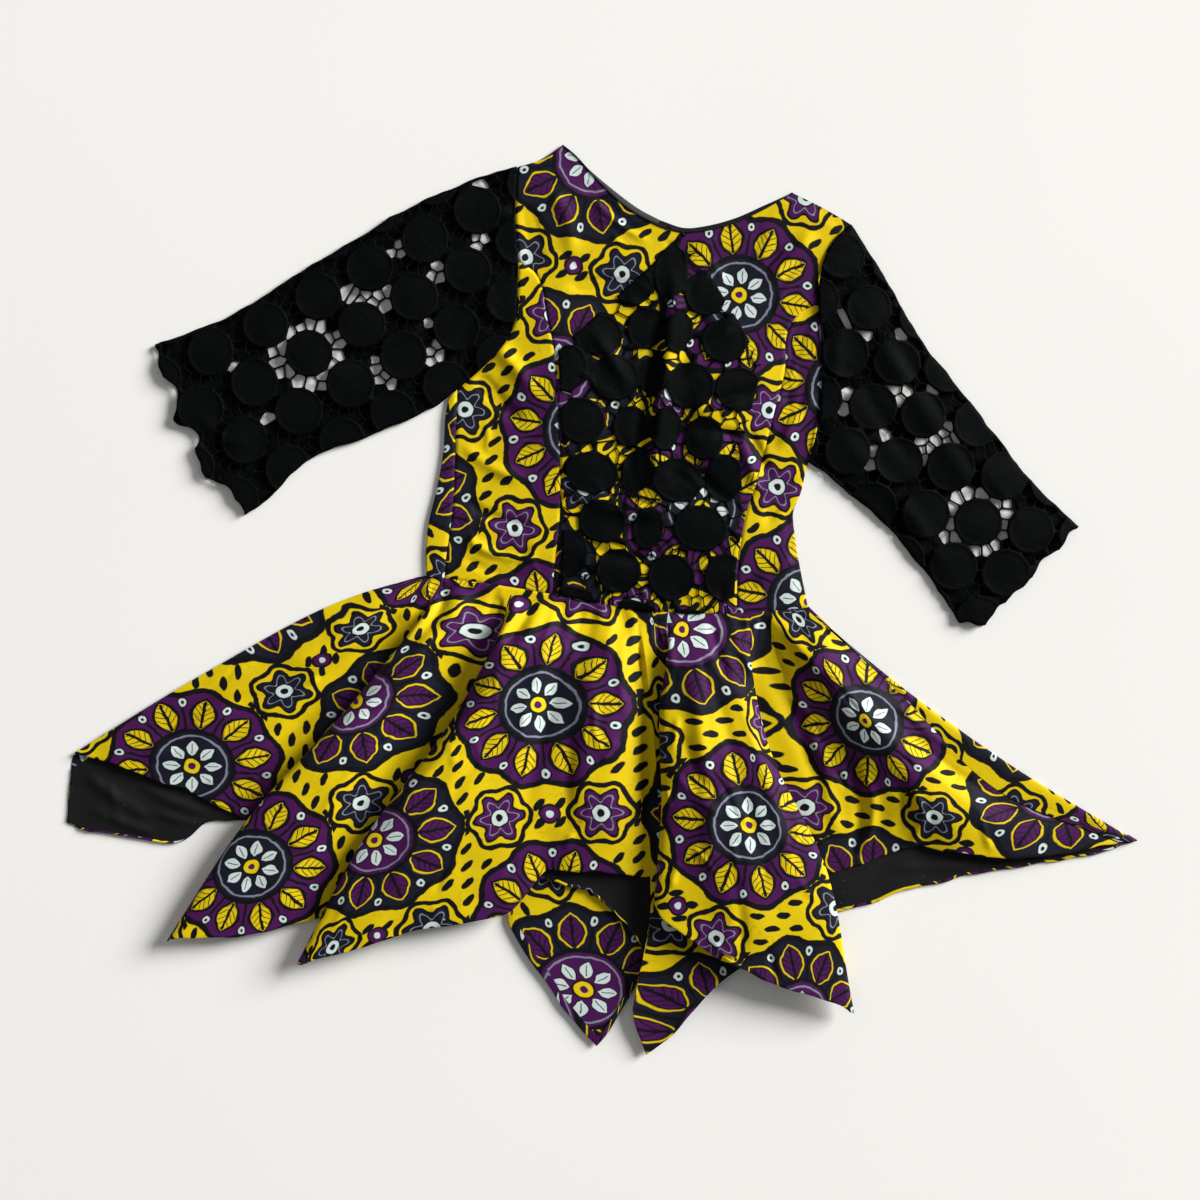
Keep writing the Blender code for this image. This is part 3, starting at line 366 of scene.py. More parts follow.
def fold_rays(row, start, share):
    """Six rays that carry the cloth from one layer, under or over itself, to the next."""
    name, x0, p1, p2, p3, side, lengths, overlap, low, lift = row
    place, length, p = path_of(x0, p1, p2, p3)
    chord = (p[3] - p[0]) / np.linalg.norm(p[3] - p[0])
    across = np.array([-chord[1], chord[0]])
    middle = [a + 0.42 * b for a, b in zip(low, lift)]
    top = [a + b for a, b in zip(low, lift)]
    first = [(a + b) / 2 for a, b in zip(low, middle)]
    second = [(a + b) / 2 for a, b in zip(middle, top)]
    under = [m - 0.3 for m in middle]
    over = [m + 0.3 for m in middle]
    # name, heights, whether it lies a whole overlap away, which way it is tucked in
    layers = (("low", low, 1, -1), ("turn", first, 1, 0), ("under", under, 1, -1),
              ("over", over, 0, 1), ("edge", second, 0, 0), ("top", top, 0, 1))
    order = range(6) if side > 0 else range(5, -1, -1)
    rays = []
    for i, k in enumerate(order):
        part, heights, far, inset = layers[k]
        at_waist = side * (k - 4.5) * FOLD_PITCH if side > 0 else (i - 0.5) * FOLD_PITCH
        height = heights_along(length, start, heights, share)

        def ray(s, far=far, inset=inset, at_waist=at_waist, height=height):
            reach = overlap * np.clip(s / length, 0, 1.2) ** 1.1
            tuck = np.minimum(FOLD_INSET, reach / 3)
            off = side * (far * reach + inset * tuck)
            mix = smooth(s / FOLD_SET)
            off = (1 - mix) * at_waist + mix * off
            level = (1 - mix)[:, None] * np.array([1.0, 0.0]) + mix[:, None] * across
            plan = place(s) + off[:, None] * level
            plan[:, 1] += (1 - mix) * (waist_y(x0 + at_waist) - waist_y(x0))
            return np.column_stack([plan, height(s)])

        rays.append((f"{name}_{part}", ray, lengths[i]))
    return rays


def fan(rows, start, share):
    rays = []
    for row in rows:
        z0 = start(row[1])
        rays += fold_rays(row, z0, share) if len(row) == 10 else [plain_ray(row, z0, share)]
    return rays


def raised(rays):
    """The rays of the front with their flutes at full height."""
    def higher(own):
        def ray(s):
            points = own(s)
            points[:, 2] += FLUTE_GAIN * np.maximum(points[:, 2] - FLUTE_BASE, 0.0)
            return points

        return ray

    return [(name, higher(own), length) for name, own, length in rays]


def drawn_in(rays, first, last):
    """The rays between two others leave the waist evenly spread between those two."""
    names = [r[0] for r in rays]
    i, j = names.index(first), names.index(last)
    out = list(rays)
    for k in range(i + 1, j):
        def ray(s, own=rays[k][1], w=(k - i) / (j - i)):
            between = (1 - w) * rays[i][1](s) + w * rays[j][1](s)
            mix = smooth((s - DRAWN_FROM) / DRAWN_OVER)[:, None]
            return (1 - mix) * between + mix * own(s)

        out[k] = (rays[k][0], ray, *rays[k][2:])
    return out


# distances from the waist at which the spacing of the rays sets the knots between them
KNOTS_AT = np.array([120.0, 200.0])


class Sheet:
    """A fan of rays as one smooth surface: t counts rays from the left, s runs from the waist."""

    def __init__(self, rays):
        self.names = [r[0] for r in rays]
        self.rays = [r[1] for r in rays]
        self.lengths = np.array([r[2] for r in rays], float)
        pairs = zip(self.rays[:-1], self.rays[1:])
        gaps = [np.linalg.norm(b(KNOTS_AT) - a(KNOTS_AT), axis=1).mean() for a, b in pairs]
        self.knots = summed(np.sqrt(np.maximum(gaps, 1.0)))

    def hem(self, t):
        """Distance from the waist to the hem, which is a little uneven."""
        wavy = 0.8 * np.sin(4.7 * t) + 0.5 * np.sin(11.3 * t + 1.0)
        return np.interp(t, np.arange(len(self.rays)), self.lengths) + wavy

    def column(self, t, s):
        """Points at ray position t and the distances s."""
        k = int(min(max(np.floor(t), 0), len(self.rays) - 2))
        u = t - k
        lo, hi = max(k - 1, 0), min(k + 2, len(self.rays) - 1)
        pts = np.stack([self.rays[i](s) for i in range(lo, hi + 1)])
        kn = self.knots[lo:hi + 1]
        flat = pts.reshape(len(pts), -1)
        m = tangents(kn, flat)
        at = np.array([self.knots[k] + u * (self.knots[k + 1] - self.knots[k])])
        return hermite(kn, flat, m, at).reshape(-1, 3)

    def surface(self, columns, distances):
        """Grid of points and normals; distances(t) gives the rows of the column at t."""
        d = 1e-3
        last = len(self.rays) - 1.0
        points, normals = [], []
        for t in columns:
            s = distances(t)
            here = self.column(t, s)
            down = self.column(t, s + 0.5) - self.column(t, np.maximum(s - 0.5, 0))
            over = self.column(min(t + d, last), s) - self.column(max(t - d, 0.0), s)
            points.append(here)
            normals.append(unit(np.cross(down, over)))
        return np.stack(points, axis=1), np.stack(normals, axis=1)


# ---------------------------------------------------------------------------------------------
# Filled outlines

def inside(outline, points):
    """Which points lie within a closed outline."""
    x, y = points[:, 0], points[:, 1]
    crossings = np.zeros(len(points), int)
    for (x0, y0), (x1, y1) in zip(outline, np.roll(outline, -1, axis=0)):
        if y0 != y1:
            level = (y0 > y) != (y1 > y)
            crossings += level & (x < x0 + (y - y0) * (x1 - x0) / (y1 - y0))
    return crossings % 2 == 1


def ring_distance(outline, points):
    return distance_to(np.vstack([outline, outline[:1]]), points[:, 0], points[:, 1])


def signed_area(outline):
    """Area of a closed outline, below zero when it runs clockwise."""
    nxt = np.roll(outline, -1, axis=0)
    return 0.5 * (outline[:, 0] * nxt[:, 1] - nxt[:, 0] * outline[:, 1]).sum()


def turned_ccw(outline):
    return outline if signed_area(outline) > 0 else outline[::-1]


def loop_of(*lines):
    """A closed outline from lines that each start where the last one ends."""
    points = np.vstack([line[:-1] for line in lines])
    return turned_ccw(points)


def lattice(low, high, pitch):
    """Points of a triangular lattice that covers a box."""
    rows = np.arange(low[1], high[1], pitch * 0.866)
    points = []
    for k, y in enumerate(rows):
        x = np.arange(low[0] + (k % 2) * pitch / 2, high[0], pitch)
        points.append(np.column_stack([x, np.full(len(x), y)]))
    return np.vstack(points)


def edge_rows(outline, depths):
    """Rows of points inside an outline, following it at each depth."""
    inward = left_of(np.roll(outline, -1, axis=0) - np.roll(outline, 1, axis=0))
    rows = [outline + depth * inward for depth in depths]
    kept = []
    for depth, row in zip(depths, rows):
        kept.append(row[inside(outline, row) & (ring_distance(outline, row) > 0.8 * depth)])
    return np.vstack(kept)


def triangles(outline, points, holes=()):
    """Triangles between an outline, the points inside it and its holes."""
    corners = [Vector(p) for p in outline]
    faces = [list(range(len(corners)))]
    for hole in holes:
        faces.append(list(range(len(corners), len(corners) + len(hole))))
        corners += [Vector(p) for p in hole]
    corners += [Vector(p) for p in points]
    made = delaunay_2d_cdt(corners, [], faces, 0, 1e-4, True)
    kept = [face for face, origin in zip(made[2], made[5]) if origin == [0]]
    used = sorted({i for face in kept for i in face})
    place = {old: new for new, old in enumerate(used)}
    flat = np.array([made[0][i][:] for i in used])
    return flat, [[place[i] for i in face] for face in kept]


def filled(outline, pitch, depths=(0.8, 1.8, 3.2)):
    """An outline filled with fine triangles, finest along its edge."""
    inner = lattice(outline.min(axis=0), outline.max(axis=0), pitch)
    inner = inner[inside(outline, inner)]
    inner = inner[ring_distance(outline, inner) > depths[-1] + 0.45 * pitch]
    return triangles(outline, np.vstack([edge_rows(outline, depths), inner]))


# ---------------------------------------------------------------------------------------------
# Creases

CREASE_POINTS = 18
CREASE_FADE = 3.5
CREASE_UNEVEN = 0.22
# ranges of the small creases: length, bend, height and half width
SMALL_LENGTH = (22, 62)
SMALL_BEND = (-0.35, 0.35)
SMALL_HEIGHT = (0.6, 1.5)
SMALL_WIDTH = (2.4, 3.8)
RIPPLES = 14
RIPPLE_LENGTH = (22, 90)
RIPPLE_SLOPE = 0.0022


def crease_height(x, y, creases):
    """Soft ridges and troughs. Each fades at both ends and is a little uneven along its length."""
    total = np.zeros(np.shape(x))
    for number, (height, width, *points) in enumerate(creases):
        line = curve(points, CREASE_POINTS)
        reach = 3.0 * width
        low, high = line.min(axis=0) - reach, line.max(axis=0) + reach
        near = (x > low[0]) & (x < high[0]) & (y > low[1]) & (y < high[1])
        if not near.any():
            continue
        px, py = x[near], y[near]
        best = np.full(len(px), FAR_OFF)
        share = np.zeros(len(px))
        for k, (a, b) in enumerate(zip(line[:-1], line[1:])):
            far, t = distance_to_piece(px, py, a, b)
            closer = far < best
            best = np.where(closer, far, best)
            share = np.where(closer, (k + t) / (len(line) - 1), share)
        fade = smooth(share * CREASE_FADE) * smooth((1 - share) * CREASE_FADE)
        uneven = 1 + CREASE_UNEVEN * np.sin(8 * share + 1.7 * number)
        total[near] += height * fade * uneven * np.exp(-(best / width) ** 2)
    return total


def small_creases(seed, count, low, high, hub, spread):
    """Short fine creases scattered over a box, most of them lying along the way from a hub."""
    rng = np.random.default_rng(seed)
    rows = []
    for _ in range(count):
        start = rng.uniform(low, high)
        heading = math.atan2(start[1] - hub[1], start[0] - hub[0]) + rng.normal(0.0, spread)
        length, bend = rng.uniform(*SMALL_LENGTH), rng.uniform(*SMALL_BEND)
        middle = start + 0.5 * length * np.array([math.cos(heading), math.sin(heading)])
        end = middle + 0.5 * length * np.array([math.cos(heading + bend), math.sin(heading + bend)])
        height = rng.uniform(*SMALL_HEIGHT) * rng.choice((-1.0, 1.0))
        rows.append((height, rng.uniform(*SMALL_WIDTH), start, middle, end))
    return rows


def ripple(x, y, seed):
    """Low waves that no cloth is free of, at most about one millimetre high in all."""
    rng = np.random.default_rng(seed)
    total = np.zeros(np.shape(x))
    for _ in range(RIPPLES):
        angle, length = rng.uniform(0, np.pi), rng.uniform(*RIPPLE_LENGTH)
        phase = rng.uniform(0, 2 * np.pi)
        k = 2 * np.pi / length
        total += length * np.sin(k * (x * np.cos(angle) + y * np.sin(angle)) + phase)
    return total * RIPPLE_SLOPE


# ---------------------------------------------------------------------------------------------
# Pieces

def make_mesh(name, points, faces, look, cut):
    """One piece; cut gives each point's place on the flat cloth, which carries the print."""
    mesh = bpy.data.meshes.new(name)
    mesh.from_pydata(((points - ORIGIN) * MM).tolist(), [], faces)
    corner = np.zeros(len(mesh.loops), np.int32)
    mesh.loops.foreach_get("vertex_index", corner)
    low, span = cut.min(axis=0), np.ptp(cut, axis=0)
    for layer, place in (("cut", cut), ("OFBake", 0.01 + 0.98 * (cut - low) / span.max())):
        uv = mesh.uv_layers.new(name=layer)
        uv.uv.foreach_set("vector", place[corner].astype(np.float32).ravel())
    mesh.shade_smooth()
    mesh.materials.append(look)
    piece = bpy.data.objects.new(name, mesh)
    bpy.context.collection.objects.link(piece)
    return piece


def grid_piece(name, grid, cut, look):
    """One piece from a grid of points and their places on the flat cloth."""
    faces = grid_quads(*grid.shape[:2])[:, ::-1].tolist()
    return make_mesh(name, grid.reshape(-1, 3), faces, look, cut.reshape(-1, 2))


def joined_parts(*parts):
    """One set of points, faces and cut places from several."""
    points, faces, cuts, first = [], [], [], 0
    for p, f, c in parts:
        points.append(p)
        cuts.append(c)
        faces += [[first + i for i in face] for face in f]
        first += len(p)
    return np.vstack(points), faces, np.vstack(cuts)


def worn(piece, slot, *nodes):
    """The piece lies with the dress and hides the solids it stands for; slot is not used."""
    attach(piece, "root")
    if nodes:
        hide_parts(*nodes)
    return piece


# ---------------------------------------------------------------------------------------------
# Bodice

PANEL_PITCH = 2.2
SEAM_DIP = 1.1
SEAM_WIDTH = 1.3
SIDE_ROUND = 2.2
SIDE_Z = 1.0
BODICE_GAIN = 1.6
LOWEST_TROUGH = 2.4
# creases reach their height this far from the waist and the neck, and a share of it at the waist
WAIST_CALM = 30
NECK_CALM = 16
WAIST_LIVELY = 0.35
BACK_PITCH = 5.0
STRIP_ROWS = 80
# how far the print is moved on the back pieces, so that it doesn't repeat the front's
BACK_PRINT = np.array([0.0, -640.0])
SKIRT_BACK_PRINT = np.array([60.0, -900.0])
UNMOVED = np.array([0.0, 0.0])

# height, half width, then the points it runs through; a trough has a height below zero
BODICE_CREASES = (
    (-2.6, 4.5, (12, 336), (9, 280), (8, 222), (7, 144)),
    (1.6, 6.0, (24, 330), (24, 270), (26, 200), (30, 130)),
    (2.8, 7.0, (104, 196), (124, 160), (141, 126)),
    (-2.4, 5.0, (112, 196), (134, 168), (148, 146)),
    (2.4, 6.0, (54, 196), (80, 208), (112, 222)),
    (-2.2, 6.0, (60, 182), (90, 186), (120, 180)),
    (2.2, 7.0, (-60, 268), (-28, 236), (-2, 206)),
    (-2.0, 6.0, (-92, 300), (-52, 312), (-8, 322)),
    (2.2, 8.0, (92, 300), (62, 268), (40, 232)),
    (-2.0, 7.0, (128, 240), (98, 222), (66, 206)),
    (2.8, 8.0, (-156, 238), (-126, 216), (-96, 186)),
    (-2.6, 7.0, (-164, 204), (-136, 180), (-104, 158)),
    (1.8, 6.0, (-166, 130), (-130, 112), (-92, 104)),
    (-1.8, 5.0, (-156, 78), (-118, 62), (-76, 62)),
    (1.8, 5.0, (-150, 40), (-108, 26), (-66, 30)),
    (-1.5, 4.5, (-146, 18), (-106, 8), (-70, 12)),
    (2.2, 6.0, (178, 246), (162, 212), (148, 176)),
    (-2.0, 5.5, (174, 160), (156, 130), (150, 96)),
    (2.0, 6.0, (188, 80), (168, 62), (148, 40)),
    (-1.6, 6.0, (-34, 60), (6, 46), (58, 50)),
    (1.8, 7.0, (-46, 106), (-6, 92), (60, 98)),
    (-1.8, 6.0, (60, 156), (90, 130), (122, 116)),
    (2.0, 8.0, (-122, 400), (-98, 368), (-86, 330)),
    (-2.2, 7.0, (-142, 380), (-128, 342), (-120, 306)),
    (-1.8, 5.0, (-96, 412), (-56, 386), (-22, 366)),
    (1.6, 4.0, (-84, 398), (-46, 374), (-10, 358)),
    (2.2, 7.0, (150, 404), (128, 370), (108, 334)),
    (-2.0, 6.0, (100, 396), (84, 366), (66, 336)),
    (1.5, 5.0, (60, 384), (40, 368), (24, 350)),
    (-2.0, 6.0, (160, 330), (150, 296), (148, 262)),
)
BODICE_SMALL = small_creases(51, 60, (-160, 10), (180, 400), (10, 200), 0.9)


def bodice_height(x, y):
    """Height of the cloth of the bodice front, creases and all, away from its seams."""
    waist = smooth((y - waist_y(x)) / WAIST_CALM)
    creases = BODICE_GAIN * crease_height(x, y, BODICE_CREASES) + crease_height(x, y, BODICE_SMALL)
    share = WAIST_LIVELY + (1 - WAIST_LIVELY) * waist
    lively = share * (creases + ripple(x, y, 4))
    edge = smooth(distance_to(NECK_FRONT, x, y) / NECK_CALM)
    calm = front_height(x, y)
    return np.maximum(calm + lively * edge, np.minimum(calm, LOWEST_TROUGH))


def seam_dip(distance):
    return SEAM_DIP * np.exp(-(distance / SEAM_WIDTH) ** 2)


def front_panel(name, outline, seams, offset, look):
    """A panel of the bodice front, sunk along its seams and rounded down at the side."""
    flat, faces = filled(outline, PANEL_PITCH)
    x, y = flat.T
    z = bodice_height(x, y)
    for seam in seams:
        z = z - seam_dip(distance_to(seam, x, y))
    side = np.clip(distance_to(SIDE_RIGHT, x, y) / SIDE_ROUND, 0, 1)
    z = SIDE_Z + (z - SIDE_Z) * np.sqrt(1 - (1 - side) ** 2)
    return make_mesh(name, np.column_stack([flat, z]), faces, look, flat + offset), flat


def bodice_front(look):
    left, right = curve(PRINCESS_LEFT, 140), curve(PRINCESS_RIGHT, 140)
    arm_left, arm_right = curve(ARMHOLE_LEFT_LOW, 64), curve(ARMHOLE_RIGHT_LOW, 70)
    high_left, high_right = curve(ARMHOLE_LEFT_HIGH, 40), curve(ARMHOLE_RIGHT_HIGH, 40)
    side_left, side_right = curve(SIDE_SEAM_LEFT, 80), curve(SIDE_RIGHT, 66)
    seams = (left, right, arm_left, arm_right, high_left, high_right, side_left, np.array(WAIST))
    neck = joined((NECK_FRONT[:6], 52), (NECK_FRONT[5:], 44))
    centre = loop_of(
        waist_run(PRINCESS_LEFT, PRINCESS_RIGHT, 74), right, high_right,
        curve(SHOULDER_RIGHT, 26)[::-1], neck[::-1], curve(SHOULDER_LEFT, 20)[::-1],
        high_left[::-1], left[::-1])
    panels = (
        ("bodice_front_centre", centre, (168.0, 108.0)),
        ("bodice_front_side_left",
         loop_of(waist_run(SIDE_SEAM_LEFT, PRINCESS_LEFT, 44), left, arm_left[::-1],
                 side_left[::-1]), (-37.0, 52.0)),
        ("bodice_front_side_right",
         loop_of(waist_run(PRINCESS_RIGHT, SIDE_RIGHT, 28), side_right, arm_right,
                 right[::-1]), (48.0, -34.0)),
    )
    for name, outline, offset in panels:
        piece, flat = front_panel(name, outline, seams, np.array(offset), look)
        worn(piece, "wax_print_cotton", name)


def bodice_back(look):
    """The back panel; its left edge rolls over to the front as a strip that ends at the seam."""
    side, arm = curve(SIDE_LEFT, STRIP_ROWS), curve(ARMHOLE_LEFT_LOW, 64)
    over = side + np.array([ROLL, 0])
    outline = loop_of(
        waist_run(over, SIDE_RIGHT, 90), curve(SIDE_RIGHT, 66), curve(ARMHOLE_RIGHT_LOW, 70),
        curve(ARMHOLE_RIGHT_HIGH, 40), curve(SHOULDER_RIGHT, 20)[::-1], curve(NECK_BACK, 80)[::-1],
        curve(SHOULDER_LEFT, 16)[::-1], curve(ARMHOLE_LEFT_HIGH, 40)[::-1], arm[::-1],
        over[::-1])
    flat, faces = filled(outline, BACK_PITCH)
    body = (np.column_stack([flat, np.full(len(flat), BACK_Z)]), faces, flat + BACK_PRINT)
    seam = curve(SIDE_SEAM_LEFT, STRIP_ROWS)
    columns, cuts = [over[:, None]], [np.zeros(STRIP_ROWS)]
    heights = [np.full(STRIP_ROWS, BACK_Z)]
    for angle in np.radians(np.arange(20, 181, 20)):
        columns.append((side + np.array([1, 0]) * ROLL * (1 - np.sin(angle)))[:, None])
        heights.append(np.full(STRIP_ROWS, BACK_Z + ROLL * (1 - np.cos(angle))))
        cuts.append(np.full(STRIP_ROWS, ROLL * angle))
    for share in np.linspace(0.12, 1, 9):
        place = over + (seam - over) * share
        dip = seam_dip(np.linalg.norm(seam - place, axis=1))
        columns.append(place[:, None])
        heights.append(FRONT_Z + 0.5 * np.sin(np.pi * share) - dip)
        cuts.append(np.pi * ROLL + np.linalg.norm(place - over, axis=1))
    plan = np.concatenate(columns, axis=1)
    strip = np.dstack([plan, np.stack(heights, axis=1)]).reshape(-1, 3)
    along = np.repeat(side[:, 1:], plan.shape[1], axis=1) + BACK_PRINT[1]
    cut = np.dstack([side[:, None, 0] - np.stack(cuts, axis=1), along]).reshape(-1, 2)
    rolled = (strip, grid_quads(STRIP_ROWS, plan.shape[1])[:, ::-1].tolist(), cut)
    points, faces, cut = joined_parts(body, rolled)
    piece = make_mesh("bodice_back", points, faces, look, cut)
    worn(piece, "wax_print_cotton", "bodice_back")


# ---------------------------------------------------------------------------------------------
# Lace

LACE_THICK = 0.8
SLEEVE_DISC = 23.4
DISC_JITTER = 1.2
SLEEVE_MARGIN = 1.6
# the overlay is cut right through its openings, so these reach past its edge
OVERLAY_MARGIN = -4.0
CORD = 1.7
CORD_HEIGHT = 0.6
CROWN_HEIGHT = 0.6
BUCKLE_HEIGHT = 0.45
KNOT_HEIGHT = 0.5
KNOT_PITCH = 13.0
HOLE_PITCH = 10.6
OVERLAY_PITCH = 12.0
WEB = 0.6
RIM_REACH = 1.5
EVENING = 2
LEAST_HOLE = 7.0
CORNER_CUT = 0.13
# a cell starts as a square and is cut by the seeds, discs and edges nearer than these
CELL_HALF = 10.5
SEED_NEAR = 24.0
DISC_NEAR = 16.0
EDGE_NEAR = (12.0, 14.0)
RIM_CLEAR = 0.5
# points of a disc: depth inside its rim and count of each ring, then the pitch further in
DISC_RINGS = ((0.0, 64), (0.5 * CORD, 64), (CORD, 56), (2.0 * CORD, 40))
DISC_PITCH = 3.6
SLEEVE_LAYERS_APART = 430.0
SLEEVE_SLOPE = 22
SLEEVE_SOFT = 1.6

# discs of the overlay as they lie: centre x and y, half width and half height
OVERLAY_DISCS = np.array((
    (13, 335, 16, 27), (-22, 314, 19, 18), (51, 320, 20, 22), (-48, 261, 24, 20),
    (-2, 276, 18, 21), (31, 278, 13, 22), (77, 276, 22, 21), (-71, 222, 18, 23),
    (-24, 221, 23.5, 22), (14, 231, 12, 24), (52, 226, 23, 22.5), (100, 231, 23.5, 21),
    (-49, 173, 22.5, 22), (0, 176, 17, 20), (35, 180, 14.5, 22), (74, 177, 18.5, 21),
    (-30, 124, 26, 20), (13, 132, 14, 25), (55, 131, 25, 21), (101, 141, 18, 23),
    (-12, 78, 23, 20.5), (35, 79, 14.5, 21), (86, 88, 26, 22), (-39, 40, 19, 23),
    (13, 32, 22, 21), (66, 35, 23, 22), (118, 44, 19, 23), (-26, -3, 25, 11), (37, -5, 23, 10),
    (92, -2, 15, 9),
), float)

# where both layers of a sleeve are open and what lies beneath shows: centre x and y, reach
OPEN_LEFT = ((-329, 189, 37), (-281, 257, 25), (-259, 308, 9), (-216, 296, 11), (-182, 330, 9),
             (-212, 243, 9), (-207, 215, 12), (-253, 188, 17), (-355, 123, 9), (-398, 165, 10),
             (-194, 385, 9))
OPEN_RIGHT = ((356, 144, 37), (205, 309, 20), (254, 318, 12), (204, 238, 18), (258, 259, 12),
              (293, 266, 6), (245, 187, 13), (253, 216, 7), (310, 214, 24))


def disc_places(outline, origin, u, v, jitter, rng, size):
    """Centre and half width and height of the discs of a skewed lattice that touch the outline."""
    steps = np.array([(i, j) for i in range(-9, 10) for j in range(-9, 10)])
    centres = np.array(origin) + steps[:, :1] * np.array(u) + steps[:, 1:] * np.array(v)
    centres = centres + rng.uniform(-jitter, jitter, centres.shape)
    near = inside(outline, centres) | (ring_distance(outline, centres) < size)
    centres = centres[near]
    return np.column_stack([centres, size * rng.uniform(0.94, 1.02, centres.shape)])


def rim_gap(points, discs):
    """Distance of each point from each disc's rim, below zero inside, and its place as a share."""
    away = points[:, None] - discs[None, :, :2]
    far = np.linalg.norm(away, axis=2)
    share = np.linalg.norm(away / discs[None, :, 2:], axis=2) + 1e-9
    return far - far / share, share


def clipped(polygon, point, away):
    """What is left of a convex polygon on the near side of a line."""
    left = (polygon - point) @ away
    out = []
    for k in range(len(polygon)):
        a, b = polygon[k - 1], polygon[k]
        da, db = left[k - 1], left[k]
        if (da <= 0) != (db <= 0):
            out.append(a + (b - a) * da / (da - db))
        if db <= 0:
            out.append(b)
    return np.array(out).reshape(-1, 2)


def rounded(polygon):
    """A polygon with its corners cut."""
    nxt = np.roll(polygon, -1, axis=0)
    near, far = 1 - CORNER_CUT, CORNER_CUT
    return np.stack([near * polygon + far * nxt, far * polygon + near * nxt], axis=1).reshape(-1, 2)


def lace_cell(seed, seeds, round_things, ring, margin):
    """What its neighbours, the discs and the edge leave of a square round a seed."""
    cell = seed + CELL_HALF * np.array([(-1, -1), (1, -1), (1, 1), (-1, 1)])
    for other in seeds[np.linalg.norm(seeds - seed, axis=1) < SEED_NEAR]:
        away = other - seed
        far = np.linalg.norm(away)
        if far > 0:
            cell = clipped(cell, seed + away * (0.5 - WEB / far), away / far)
    gaps = rim_gap(seed[None], round_things)[0][0]
    near = gaps < DISC_NEAR
    for (x, y, _, _), gap in zip(round_things[near], gaps[near]):
        away = np.array([x, y]) - seed
        far = np.linalg.norm(away)
        cell = clipped(cell, seed + away * (gap - RIM_CLEAR) / far, away / far)
    for a, b in zip(ring[:-1], ring[1:]):
        along = (b - a) / np.linalg.norm(b - a)
        outward = np.array([along[1], -along[0]])
        away = abs((seed - a) @ along), abs((seed - a) @ outward)
        if away[0] < EDGE_NEAR[0] and away[1] < EDGE_NEAR[1]:
            cell = clipped(cell, a - margin * outward, outward)
    return cell


def lace_holes(outline, discs, nodes, margin, rng, pitch):
    """The openings between the discs: cells round scattered points, drawn in by half a web. The
    points first move to the middles of their cells, which makes the openings more even."""
    low, high = outline.min(axis=0), outline.max(axis=0)
    seeds = lattice(low, high, pitch)
    seeds = seeds + rng.uniform(-0.3, 0.3, seeds.shape) * pitch
    seeds = seeds[inside(outline, seeds)]
    seeds = seeds[ring_distance(outline, seeds) > margin + 1.5]
    ring = np.vstack([outline, outline[:1]])
    round_things = np.vstack([discs, nodes])
    seeds = seeds[rim_gap(seeds, round_things)[0].min(axis=1) > RIM_REACH]
    for _ in range(EVENING):
        cells = [lace_cell(seed, seeds, round_things, ring, margin) for seed in seeds]
        middles = [cell.mean(axis=0) if len(cell) > 2 else seed for cell, seed in zip(cells, seeds)]
        seeds = np.array(middles)
        seeds = seeds[rim_gap(seeds, round_things)[0].min(axis=1) > 0.8]
    holes = []
    for seed in seeds:
        cell = lace_cell(seed, seeds, round_things, ring, margin)
        if len(cell) > 2 and signed_area(cell) > LEAST_HOLE:
            holes.append(rounded(cell))
    return holes


def round_points(count):
    """Points evenly round a circle of radius one."""
    a = np.linspace(0, 2 * np.pi, count, endpoint=False)
    return np.column_stack([np.cos(a), np.sin(a)])


def disc_points(outline, discs, nodes):
    """Points along each disc's rim and inside it."""
    points = []
    for x, y, wide, high in discs:
        for depth, count in DISC_RINGS:
            reach = np.array([wide - depth, high - depth])
            points.append(np.array([x, y]) + reach * round_points(count))
        low, top = np.array([x - wide, y - high]), np.array([x + wide, y + high])
        grid = lattice(low, top, DISC_PITCH)
        gap = rim_gap(grid, np.array([(x, y, wide, high)]))[0][:, 0]
        points.append(grid[gap < -2.0 * CORD - 1.5])
    for x, y, radius, _ in nodes:
        points.append(np.array([x, y]) + 0.6 * radius * round_points(8))
    points = np.vstack(points)
    points = points[inside(outline, points)]
    return points[ring_distance(outline, points) > 0.8]


def lace_relief(flat, discs, nodes):
    """How far the lace stands proud: a cord round each disc, a crown inside and small knots."""
    gaps, shares = rim_gap(flat, discs)
    own = shares.argmin(axis=1)
    rows = np.arange(len(flat))
    gap, share = gaps[rows, own], shares[rows, own]
    turn = np.arctan2(*(flat - discs[own, :2]).T)
    cord = CORD_HEIGHT * np.exp(-((gap + 0.5 * CORD) / (0.5 * CORD)) ** 2)
    crown = CROWN_HEIGHT * np.clip(1 - share ** 2, 0, 1)
    buckle = BUCKLE_HEIGHT * np.sin(2 * turn + own) * np.clip(share, 0, 1) ** 2
    relief = cord + crown + np.where(share < 1, buckle, 0.0)
    for x, y, radius, _ in nodes:
        far = np.hypot(flat[:, 0] - x, flat[:, 1] - y)
        relief = relief + KNOT_HEIGHT * np.exp(-(far / radius) ** 2)
    return relief


